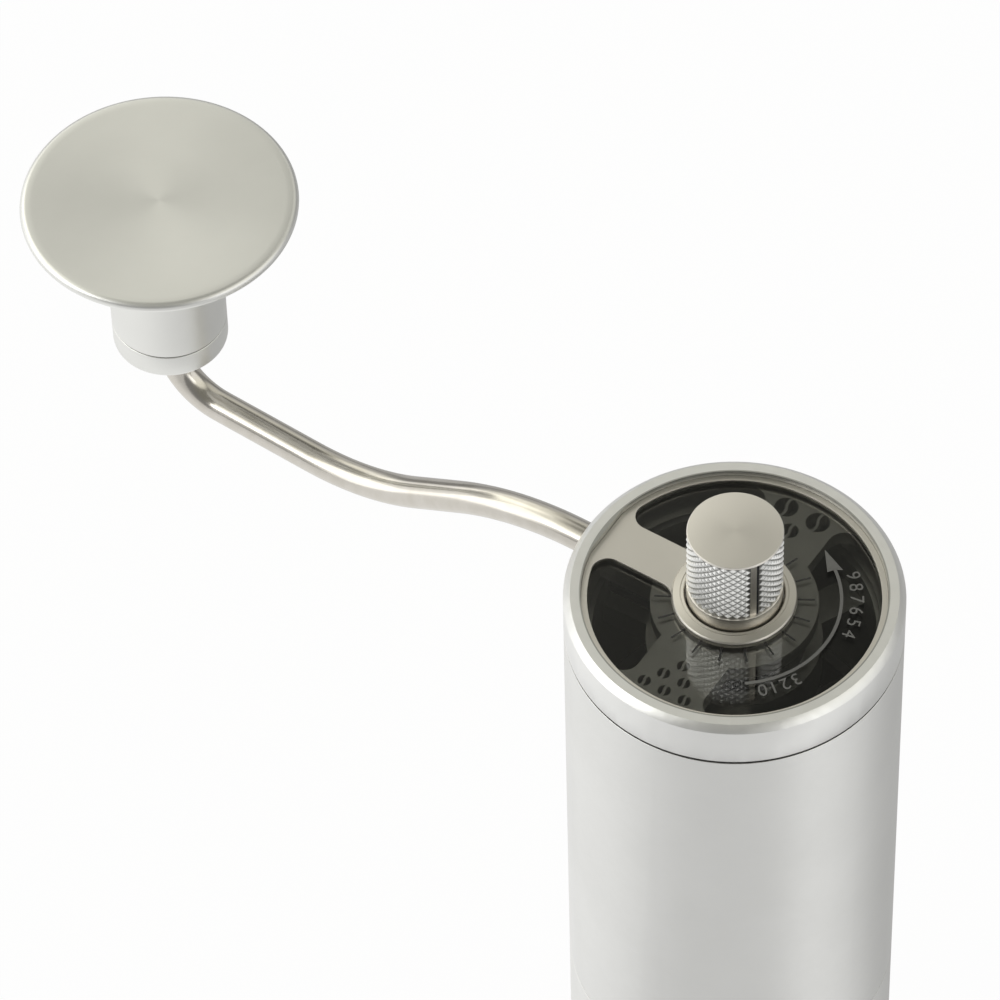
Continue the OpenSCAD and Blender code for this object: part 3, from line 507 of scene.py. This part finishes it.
def turned(name, light, dark, rough, centre=(0, 0, 0), groove=0.3, pitch=7.0, aniso=0.5, vary=0.05, painted_shade=None):
    """Metal turned on a lathe: fine rings about a vertical axis.

    The last argument, (colour, lowest height, radius), paints shade: the metal gets that darker colour above that
    height, within that radius.
    """
    m = Nodes(name)
    at = m.coords(centre)
    shader = m.principled(light, rough, Anisotropic=aniso)
    across = m.pair(m.radius(at), m.height(at))
    rings = m.noise(across, pitch, 2, 0.6)
    colour = m.tint(m.noise(at, 0.08, 3), dark, light)
    # Painted shade: the top within the radius gets the darker colour
    if painted_shade:
        shade, low, out = painted_shade
        above = m.spread(m.height(at), 0, 1, (low, low + 0.05))
        inside = m.spread(m.radius(at), 1, 0, (out, out + 0.05))
        colour = m.mixed(m.math("MULTIPLY", above, inside), colour, shade)
    m.link(colour, shader.inputs["Base Color"])
    m.link(m.spread(rings, rough - vary, rough + vary), shader.inputs["Roughness"])
    tangent = m.add("ShaderNodeTangent", direction_type="RADIAL", axis="Z")
    if centre == (0, 0, 0):
        m.link(tangent.outputs["Tangent"], shader.inputs["Tangent"])
    else:
        spin = m.add("ShaderNodeVectorMath", operation="CROSS_PRODUCT")
        spin.inputs[0].default_value = (0, 0, 1)
        m.link(at, spin.inputs[1])
        m.link(spin.outputs["Vector"], shader.inputs["Tangent"])
    m.bump(shader, rings, groove, 0.01)
    return m.material


def drawn(name, light, dark, rough):
    """A drawn rod: fine lines along its length, from the rod's own UV map (around, along)."""
    m = Nodes(name)
    uv = m.add("ShaderNodeUVMap")
    stretch = m.add("ShaderNodeMapping")
    stretch.inputs["Scale"].default_value = (60, 1.2, 1)
    m.link(uv.outputs["UV"], stretch.inputs["Vector"])
    lines = m.noise(stretch.outputs["Vector"], 1.0, 3, 0.6)
    blotch = m.add("ShaderNodeMapping")
    blotch.inputs["Scale"].default_value = (4, 6, 1)
    m.link(uv.outputs["UV"], blotch.inputs["Vector"])
    shader = m.principled(light, rough)
    m.link(m.tint(m.noise(blotch.outputs["Vector"], 1.0, 3), dark, light), shader.inputs["Base Color"])
    m.link(m.spread(lines, rough - 0.05, rough + 0.08), shader.inputs["Roughness"])
    m.bump(shader, lines, 0.12, 0.01)
    return m.material


def plain_metal(name, light, dark, rough):
    """Metal with a faint grain in no direction."""
    m = Nodes(name)
    at = m.coords()
    grain = 2.0
    shader = m.principled(light, rough)
    m.link(m.tint(m.noise(at, grain, 3), dark, light), shader.inputs["Base Color"])
    m.link(m.spread(m.noise(at, grain * 3, 3), rough - 0.06, rough + 0.06), shader.inputs["Roughness"])
    m.bump(shader, m.noise(at, grain * 6, 2), 0.15, 0.01)
    return m.material


def knurled(name, crest, valley, rough):
    """Metal pressed into small diamonds, by distance from the axis: painted shade darkens it between them, and
    the crests get a painted highlight, lighter than the knob's other steel.
    """
    m = Nodes(name)
    at = m.coords()
    shader = m.principled(crest, rough)
    # Painted shade in the valleys and painted highlight on the crests, by distance from the axis
    out = m.spread(m.radius(at), 0, 1, (KNOB_R - KNURL_DEPTH, KNOB_R - 0.05))
    m.link(m.tint(out, valley, crest, (0.0, 0.36)), shader.inputs["Base Color"])
    m.link(m.spread(m.noise(at, 6.0, 3), rough - 0.05, rough + 0.1), shader.inputs["Roughness"])
    m.bump(shader, m.noise(at, 14.0, 2), 0.1, 0.01)
    return m.material


def dull(name, light, dark, rough):
    """Rubber, plastic or print."""
    m = Nodes(name)
    at = m.coords()
    grain = 3.0
    shader = m.principled(light, rough, metallic=0.0)
    m.link(m.tint(m.noise(at, grain, 3), dark, light), shader.inputs["Base Color"])
    m.link(m.spread(m.noise(at, grain * 2, 3), rough - 0.08, rough + 0.05), shader.inputs["Roughness"])
    m.bump(shader, m.noise(at, grain * 5, 3), 0.3, 0.03)
    return m.material


def smoked(name, tint, ior):
    """A thin smoked window: it tints what is behind it and mirrors as a clear surface does."""
    m = Nodes(name)
    at = m.coords()
    clear = m.add("ShaderNodeBsdfTransparent")
    clear.inputs["Color"].default_value = (*tint, 1)
    shine = m.principled((1, 1, 1), 0.02)
    m.link(m.spread(m.noise(at, 0.3, 3), 0.01, 0.03), shine.inputs["Roughness"])
    gloss = m.add("ShaderNodeFresnel", IOR=ior)
    mix = m.add("ShaderNodeMixShader")
    m.link(gloss.outputs["Fac"], mix.inputs["Fac"])
    m.link(clear.outputs["BSDF"], mix.inputs[1])
    m.link(shine.outputs["BSDF"], mix.inputs[2])
    m.link(mix.outputs["Shader"], m.output.inputs["Surface"])
    return m.material


def make_materials():
    grip_at = (*[c * MM for c in polar(CRANK_R, ARM_AZ)], 0)
    steel_rings = {"groove": 0.03, "pitch": 14.0, "aniso": 0.2, "vary": 0.015}
    return {
        "satin_aluminium": blasted("satin_aluminium", (0.80, 0.80, 0.78), (0.77, 0.77, 0.75), 0.42),
        # The head's material carries the painted shade on the recess wall and the painted shadow on the underside
        "crank_head": blasted("crank_head", (0.86, 0.86, 0.84), (0.83, 0.83, 0.81), 0.42, wall=True),
        "dark_aluminium": blasted("dark_aluminium", (0.225, 0.225, 0.22), (0.19, 0.19, 0.185), 0.5),
        "turned_aluminium": turned(
            "turned_aluminium", (0.83, 0.83, 0.80), (0.80, 0.80, 0.77), 0.38,
            centre=grip_at, groove=0.04, pitch=12.0, aniso=0.3, vary=0.02,
        ),
        "bright_steel": turned("bright_steel", STEEL, STEEL_DARK, 0.36, **steel_rings),
        # The frame's collar top has painted shade
        "frame_steel": turned(
            "frame_steel", STEEL, STEEL_DARK, 0.36, **steel_rings,
            painted_shade=(COLLAR_PAINTED_SHADE, EDGE_Z + 0.1, COLLAR_R + 0.1),
        ),
        # Knurl with painted shade in its valleys and painted highlight on its crests
        "knurled_steel": knurled("knurled_steel", (0.96, 0.96, 0.94), (0.30, 0.30, 0.29), 0.38),
        "polished_steel": drawn("polished_steel", (0.66, 0.63, 0.58), (0.60, 0.57, 0.51), 0.17),
        "tool_steel": turned("tool_steel", (0.45, 0.45, 0.45), (0.38, 0.38, 0.38), 0.35),
        "bearing_steel": plain_metal("bearing_steel", (0.66, 0.66, 0.67), (0.62, 0.62, 0.63), 0.18),
        "dark_fastener": plain_metal("dark_fastener", (0.10, 0.10, 0.11), (0.07, 0.07, 0.08), 0.45),
        "bronze": plain_metal("bronze", (0.70, 0.50, 0.26), (0.60, 0.42, 0.20), 0.35),
        "smoked_window": smoked("smoked_window", (0.74, 0.74, 0.725), 1.5),
        "black_rubber": dull("black_rubber", (0.035, 0.035, 0.035), (0.02, 0.02, 0.02), 0.6),
        "white_plastic": dull("white_plastic", (0.85, 0.85, 0.83), (0.80, 0.80, 0.78), 0.4),
        "dark_print": dull("dark_print", (0.012, 0.012, 0.012), (0.008, 0.008, 0.008), 0.5),
        "light_print": dull("light_print", (0.16, 0.16, 0.155), (0.14, 0.14, 0.135), 0.5),
    }


# ---- body ----

def make_body(mats):
    tube = lathe("body_tube_skin", eased([
        (TUBE_R, TUBE_LOW), (BODY_R, TUBE_LOW), (BODY_R, TUBE_TOP), (SEAT_R, TUBE_TOP),
        (SEAT_R, SEAT_Z, 0), (TUBE_R, SEAT_Z, 0),
    ], 0.15), "housing")
    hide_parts("body_tube")
    dress(tube, mats["satin_aluminium"])
    cup = lathe("catch_cup_skin", eased([
        (0, CUP_FLOOR, 0), (TUBE_R, CUP_FLOOR, 0.8), (TUBE_R, CUP_TOP), (BODY_R, CUP_TOP),
        (BODY_R, CUP_LOW + CUP_BEVEL, 0.5), (BODY_R - CUP_BEVEL, CUP_LOW, 0.3),
        (PAD_POCKET_R, CUP_LOW), (PAD_POCKET_R, PAD_T, 0), (0, PAD_T, 0),
    ], 0.15), "cup")
    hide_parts("catch_cup")
    dress(cup, mats["satin_aluminium"])
    pad = lathe("foot_pad_skin", eased([
        (0, 0, 0), (PAD_R, 0), (PAD_R, PAD_T, 0), (0, PAD_T, 0),
    ], 0.2), "cup")
    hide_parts("foot_pad")
    dress(pad, mats["black_rubber"])


# ---- adjusting knob ----

def make_knob(mats):
    sliver = 0.02
    bore_top = KNOB_TOP - KNOB_ROOF
    bevel_low = KNOB_TOP - KNOB_BEVEL
    core_r = KNOB_R - CORE_INSET
    outline = eased([
        (0, bore_top, 0), (KNOB_BORE_R, bore_top, 0), (KNOB_BORE_R, SHANK_LOW, 0), (SHANK_R, SHANK_LOW, 0),
        (SHANK_R, KNOB_FOOT, 0), (KNOB_R, KNOB_FOOT), (KNOB_R, KNURL_LOW, 0.08),
        (core_r, KNURL_LOW + sliver, 0), (core_r, bevel_low - sliver, 0),
        (KNOB_R - sliver, bevel_low, 0.05), (KNOB_R - KNOB_BEVEL_W, KNOB_TOP, 0.08), (0, KNOB_TOP, 0),
    ], 0.12)
    core = lathe("adjusting_knob_core", outline, "adjuster", 144)
    dress(core, mats["bright_steel"])
    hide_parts("adjusting_knob")

    bm = bmesh.new()
    step = 360.0 / (2 * KNURL_TEETH)
    rows = int(round((bevel_low - KNURL_LOW) / KNURL_ROW))
    row_h = (bevel_low - KNURL_LOW) / rows
    half = int(round(math.degrees(POINTER_W / 2 / KNOB_R) / step))
    first, last = half, 2 * KNURL_TEETH - half
    grid = {}
    for i in range(first, last + 1):
        for j in range(rows + 1):
            valley = (i + j) % 2 == 0 or j in (0, rows) or i in (first, last)
            x, y = polar(KNOB_R - (KNURL_DEPTH if valley else 0), POINTER_AZ + i * step)
            grid[i, j] = vertex(bm, x, y, KNURL_LOW + j * row_h)
    for i in range(first, last):
        for j in range(rows):
            a, b, c, d = grid[i, j], grid[i + 1, j], grid[i + 1, j + 1], grid[i, j + 1]
            if (i + j) % 2 == 0:
                bm.faces.new((a, b, c))
                bm.faces.new((a, c, d))
            else:
                bm.faces.new((a, b, d))
                bm.faces.new((b, c, d))
    sleeve = new_object("adjusting_knob_knurl", bm, "adjuster")
    dress(sleeve, mats["knurled_steel"])
    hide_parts("adjusting_knob")
    make_pointer(mats, half * step)


def make_pointer(mats, reach):
    """The pointer groove: a plain strip, and a dark strip of painted shadow on one side; reach is half its width
    in degrees.
    """
    low, wall = KNOB_R - POINTER_DEPTH, KNOB_R - KNURL_DEPTH
    painted_shadow = reach * POINTER_SHADOW_START
    for name, corners, finish in (
        ("strip", [(wall, -reach), (low, -reach), (low, 0), (low, painted_shadow)], "bright_steel"),
        # A dark strip in the fastener colour: painted shadow on the groove's far side
        ("painted_shadow", [(low, painted_shadow), (low, reach), (wall, reach)], "dark_fastener"),
    ):
        bm = bmesh.new()
        columns = []
        for r, off in corners:
            x, y = polar(r, POINTER_AZ + off)
            columns.append([vertex(bm, x, y, z) for z in (KNURL_LOW, KNOB_TOP - KNOB_BEVEL)])
        for a, b in zip(columns, columns[1:]):
            bm.faces.new((a[0], b[0], b[1], a[1]))
        strip = new_object("adjusting_knob_pointer_" + name, bm, "adjuster")
        dress(strip, mats[finish])
        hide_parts("adjusting_knob")


# ---- crank arm ----

def arm_path():
    """Points along the rod's centre line as (reach, height), from inside the head to inside the grip."""
    points = [Vector((BODY_R - ARM_SOCKET, ARM_Z))]
    heading = 0.0

    def straight(length, n):
        direction = Vector((math.cos(heading), math.sin(heading)))
        start = points[-1].copy()
        for k in range(1, n + 1):
            points.append(start + direction * (length * k / n))

    def bend(radius, angle):
        nonlocal heading
        side = 1 if angle > 0 else -1
        start = points[-1].copy()
        centre = start + Vector((-math.sin(heading), math.cos(heading))) * radius * side
        n = max(6, int(abs(angle) / BEND_STEP))
        for k in range(1, n + 1):
            h = heading + math.radians(angle) * k / n
            points.append(centre + Vector((math.sin(h), -math.cos(h))) * radius * side)
        heading += math.radians(angle)

    straight(ARM_SOCKET + ARM_LEAD, 3)
    bend(BEND_DOWN_R, -BEND_DOWN_A)
    straight(ARM_MID, 4)
    bend(BEND_BACK_R, BEND_DOWN_A + ARM_RISE_A)
    rise = math.radians(ARM_RISE_A)
    left = CRANK_R - BEND_UP_R * (1 - math.sin(rise)) - points[-1].x
    straight(left / math.cos(rise), 6)
    bend(BEND_UP_R, 90 - ARM_RISE_A)
    straight(AXLE_TOP - points[-1].y, 8)
    return points


def make_arm(mats):
    points = arm_path()
    bm = bmesh.new()
    uv = bm.loops.layers.uv.new("UVMap")
    rings, along = [], []
    length = 0.0
    for i, p in enumerate(points):
        if i:
            length += (p - points[i - 1]).length
        ahead = points[min(i + 1, len(points) - 1)] - points[max(i - 1, 0)]
        ahead.normalize()
        up = Vector((-ahead.y, ahead.x))
        ring = []
        for k in range(ARM_SIDES):
            a = 2 * math.pi * k / ARM_SIDES
            reach = p.x + up.x * ARM_R * math.cos(a)
            height = p.y + up.y * ARM_R * math.cos(a)
            side = ARM_R * math.sin(a)
            x, y = polar(reach, ARM_AZ)
            ox, oy = polar(side, ARM_AZ + 90)
            ring.append(vertex(bm, x + ox, y + oy, height))
        rings.append(ring)
        along.append(length)
    for i in range(len(rings) - 1):
        for k in range(ARM_SIDES):
            n = (k + 1) % ARM_SIDES
            face = bm.faces.new((rings[i][k], rings[i][n], rings[i + 1][n], rings[i + 1][k]))
            here, beside = k / ARM_SIDES, (k + 1) / ARM_SIDES
            around = (here, beside, beside, here)
            reach = (along[i], along[i], along[i + 1], along[i + 1])
            for loop, u, v in zip(face.loops, around, reach):
                loop[uv].uv = (u, v / ARM_UV_LENGTH)
    bm.faces.new(rings[0][::-1])
    bm.faces.new(rings[-1])
    bmesh.ops.recalc_face_normals(bm, faces=bm.faces[:])
    arm = new_object("crank_arm_rod", bm, "crank")
    smooth(arm)
    dress(arm, mats["polished_steel"])
    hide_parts("crank_arm")


# ---- grip ----

def make_grip(mats):
    centre = polar(CRANK_R, ARM_AZ)
    seam = GRIP_LOW + END_RING_H
    bore_top = GRIP_LOW + GRIP_BORE_H
    under = GRIP_TOP - 2 * GRIP_EDGE_R
    flare = under - FLARE_R
    ring_seat = STEM_R - END_RING_WALL
    dish = GRIP_R - 2 * GRIP_EDGE_R
    outline = [
        (GRIP_BORE_R, bore_top), (GRIP_BORE_R, seam + END_RING_SPIGOT_H),
        (ring_seat, seam + END_RING_SPIGOT_H), (ring_seat, seam),
        (STEM_R - 0.2, seam), (STEM_R, seam + 0.2), (STEM_R, flare),
        *arc(STEM_R + FLARE_R, flare, FLARE_R, 180, 90, 20),
        *arc(GRIP_R - GRIP_EDGE_R, GRIP_TOP - GRIP_EDGE_R, GRIP_EDGE_R, -90, 90, 14),
        (dish, GRIP_TOP - 0.01), (dish - 1.5, GRIP_TOP - 0.03), (dish * 0.7, GRIP_TOP - DISH_DEPTH * 0.4),
        (dish / 3, GRIP_TOP - DISH_DEPTH), (0, GRIP_TOP - DISH_DEPTH), (0, bore_top),
    ]
    knob = lathe("grip_knob_turned", outline, "grip", 192, centre)
    dress(knob, mats["turned_aluminium"])
    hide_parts("grip_knob")
    spigot_r = ring_seat - END_RING_FIT
    spigot_top = seam + END_RING_SPIGOT_H - END_RING_FIT
    ring = lathe("grip_end_ring_turned", eased([
        (GRIP_BORE_R, GRIP_LOW), (STEM_R, GRIP_LOW, 0.5), (STEM_R, seam - END_RING_GAP, 0.15),
        (spigot_r, seam - END_RING_GAP, 0), (spigot_r, spigot_top, 0), (END_RING_BORE_R, spigot_top, 0),
        (END_RING_BORE_R, seam + 0.2, 0), (GRIP_BORE_R, seam + 0.2, 0),
    ], 0.2), "grip", 160, centre)
    dress(ring, mats["turned_aluminium"])
    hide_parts("grip_end_ring")


# ---- dial ----

def recess_outline(inset):
    """The recess, drawn in by inset: a circle with one flat across the arm's direction."""
    points = []
    count = 180
    for k in range(count):
        az = 360.0 * k / count
        r = RECESS_R - inset
        off = math.cos(math.radians(az - ARM_AZ))
        if off > 0:
            r = min(r, (KEY_X - inset) / off)
        points.append(polar(r, az))
    return points


def make_window(mats):
    outer = recess_outline(WINDOW_INSET)
    count = len(outer)
    inner = [polar(WINDOW_BORE, 360.0 * k / count) for k in range(count)]
    bm = bmesh.new()
    (low_out, low_in), (high_out, high_in) = [
        [[vertex(bm, x, y, z) for x, y in outline] for outline in (outer, inner)]
        for z in (FLOOR_Z + WINDOW_LIFT, GLASS_Z - WINDOW_DROP)
    ]
    for k in range(count):
        n = (k + 1) % count
        bm.faces.new((low_out[n], low_out[k], low_in[k], low_in[n]))
        bm.faces.new((high_out[k], high_out[n], high_in[n], high_in[k]))
        bm.faces.new((low_out[k], low_out[n], high_out[n], high_out[k]))
        bm.faces.new((low_in[n], low_in[k], high_in[k], high_in[n]))
    window = new_object("dial_window_pane", bm, "crank")
    smooth(window)
    dress(window, mats["smoked_window"])
    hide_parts("dial_window")


def mark(bm, corners):
    """A flat mark that stands out of the window, without a bottom."""
    low = [vertex(bm, x, y, GLASS_Z - PRINT_ROOT) for x, y in corners]
    high = [vertex(bm, x, y, GLASS_Z + PRINT_T) for x, y in corners]
    bm.faces.new(high)
    for i in range(len(corners)):
        n = (i + 1) % len(corners)
        bm.faces.new((low[i], low[n], high[n], high[i]))


def make_ticks(mats):
    bm = bmesh.new()
    for k in range(int(360 / TICK_STEP)):
        az = TICK_AZ + k * TICK_STEP
        out = Vector(polar(1, az))
        side = Vector(polar(1, az + 90)) * TICK_W / 2
        mark(bm, [out * TICK_R0 - side, out * TICK_R1 - side, out * TICK_R1 + side, out * TICK_R0 + side])
    ticks = new_object("window_ticks", bm, "crank")
    dress(ticks, mats["dark_print"])


def make_arrow(mats):
    inner, outer = [
        [polar(r, ARROW_START + (ARROW_END - ARROW_START) * k / ARROW_STEPS) for k in range(ARROW_STEPS + 1)]
        for r in (ARROW_R - ARROW_W / 2, ARROW_R + ARROW_W / 2)
    ]
    bm = bmesh.new()
    for k in range(ARROW_STEPS):
        mark(bm, [inner[k], outer[k], outer[k + 1], inner[k + 1]])
    mark(bm, ARROW_HEAD)
    arrow = new_object("window_arrow", bm, "crank")
    dress(arrow, mats["light_print"])


def make_digit(mats, text, radius, az):
    """A plain scale number that lies on the window; its text is turned into a mesh."""
    curve = bpy.data.curves.new("digit_" + text, "FONT")
    curve.body = text
    curve.size = DIGIT_SIZE * MM
    curve.align_x = "CENTER"
    curve.align_y = "CENTER"
    curve.extrude = PRINT_T / 2 * MM
    obj = bpy.data.objects.new("digit_" + text, curve)
    bpy.context.scene.collection.objects.link(obj)
    x, y = polar(radius, az)
    obj.location = (x * MM, y * MM, (GLASS_Z - PRINT_T / 2) * MM)
    obj.rotation_euler = (0, 0, math.radians(az - 90))
    bpy.context.view_layer.update()
    depsgraph = bpy.context.evaluated_depsgraph_get()
    mesh = bpy.data.meshes.new_from_object(obj.evaluated_get(depsgraph))
    matrix = obj.matrix_world.copy()
    bpy.data.objects.remove(obj)
    mesh.transform(matrix)
    digit = new_object("window_digit_" + text, mesh, "crank")
    dress(digit, mats["light_print"])


def make_digits(mats):
    """The numbers run from fine to coarse, along the arrow."""
    for radius, places in DIGIT_ROWS:
        for text, az in places:
            make_digit(mats, text, radius, az)


# ---- CAD nodes and the frame ----

def dress_nodes(mats):
    """Every CAD node gets its material; two of those that stay visible get eased edges."""
    slots = {row["node"]: row["material_slot"] for row in frame["record"]["subparts"]}
    for name, obj in frame["nodes"].items():
        dress(obj, mats[slots[name]])
    dress(frame["nodes"]["crank_head"], mats["crank_head"])
    for name, width in EASED_NODES:
        ease(frame["nodes"][name], width)


def make_frame(mats):
    """The bright frame: the CAD's mesh, with a collar whose top falls away outwards."""
    source = frame["nodes"]["dial_frame"]
    bm = bmesh.new()
    bm.from_mesh(source.data)
    bm.transform(source.matrix_world)
    for v in bm.verts:
        r, h = math.hypot(v.co.x, v.co.y) / MM, v.co.z / MM - EDGE_Z
        if h > COLLAR_WALL and r > COLLAR_CREST_R:
            fall = (r - COLLAR_CREST_R) * COLLAR_SLOPE
            v.co.z = (EDGE_Z + max(h - fall, COLLAR_WALL)) * MM
    skin = new_object("dial_frame_skin", bm, "crank")
    dress(skin, mats["frame_steel"])
    ease(skin, FRAME_EASE)
    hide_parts("dial_frame")


# ---- stage ----

def make_stage():
    floor_mesh = bpy.data.meshes.new("stage_floor")
    corners = [(x * FLOOR_HALF, y * FLOOR_HALF, -FLOOR_DROP) for x, y in ((-1, -1), (1, -1), (1, 1), (-1, 1))]
    floor_mesh.from_pydata(corners, [], [(0, 1, 2, 3)])
    floor = bpy.data.objects.new("stage_floor", floor_mesh)
    bpy.context.scene.collection.objects.link(floor)
    m = Nodes("stage_floor")
    path = m.add("ShaderNodeLightPath")
    seen = m.seen(path)
    matt = m.add("ShaderNodeBsdfDiffuse")
    matt.inputs["Color"].default_value = (0.9, 0.9, 0.9, 1)
    glow = m.add("ShaderNodeEmission")
    glow.inputs["Color"].default_value = (1, 1, 1, 1)
    way = m.add("ShaderNodeVectorMath", operation="NORMALIZE")
    m.link(m.add("ShaderNodeTexCoord").outputs["Object"], way.inputs[0])
    level = m.screens(way.outputs["Vector"], FLOOR_ROOM, FLOOR_SCREENS)
    m.link(m.math("MAXIMUM", path.outputs["Is Camera Ray"], level), glow.inputs["Strength"])
    mix = m.add("ShaderNodeMixShader")
    m.link(m.math("MULTIPLY", seen, FLOOR_GLOW), mix.inputs["Fac"])
    m.link(matt.outputs["BSDF"], mix.inputs[1])
    m.link(glow.outputs["Emission"], mix.inputs[2])
    m.link(mix.outputs["Shader"], m.output.inputs["Surface"])
    floor_mesh.materials.append(m.material)


def make_world():
    """A studio: a dim room with large pale screens, white where the camera sees it."""
    m = Nodes("studio", world=True)
    bpy.context.scene.world = m.material
    way = m.add("ShaderNodeTexCoord").outputs["Generated"]
    level = m.screens(way, ROOM, SCREENS)
    camera = m.add("ShaderNodeLightPath").outputs["Is Camera Ray"]
    room = m.add("ShaderNodeBackground")
    tinted = m.tint(m.height(way), SIDE_LIGHT, HIGH_LIGHT, (0.3, 0.6))
    m.link(m.mixed(camera, tinted, (1, 1, 1)), room.inputs["Color"])
    m.link(m.math("MAXIMUM", camera, level), room.inputs["Strength"])
    m.link(room.outputs[0], m.output.inputs["Surface"])


def make_lights():
    for name, place, target, size, power in LAMPS:
        data = bpy.data.lights.new(name, "AREA")
        data.shape = "RECTANGLE"
        data.size, data.size_y = size
        data.energy = power
        obj = bpy.data.objects.new(name, data)
        bpy.context.scene.collection.objects.link(obj)
        obj.location = place
        obj.rotation_euler = (Vector(target) - Vector(place)).to_track_quat("-Z", "Y").to_euler()


def make_camera():
    data = bpy.data.cameras.new("camera")
    data.sensor_width = CAMERA_SENSOR
    data.lens = CAMERA_LENS
    data.clip_start, data.clip_end = CAMERA_CLIP
    cam = bpy.data.objects.new("camera", data)
    bpy.context.scene.collection.objects.link(cam)
    right, up = Vector(CAMERA_RIGHT), -Vector(CAMERA_DOWN)
    rows = Matrix((right, up, right.cross(up))).transposed()
    cam.matrix_world = Matrix.Translation(CAMERA_PLACE) @ rows.to_4x4()
    bpy.context.scene.camera = cam


mats = make_materials()
dress_nodes(mats)
make_frame(mats)
make_body(mats)
make_knob(mats)
make_arm(mats)
make_grip(mats)
make_window(mats)
make_ticks(mats)
make_arrow(mats)
make_digits(mats)
make_stage()
make_world()
make_lights()
make_camera()
bpy.context.scene.view_settings.view_transform = "Standard"
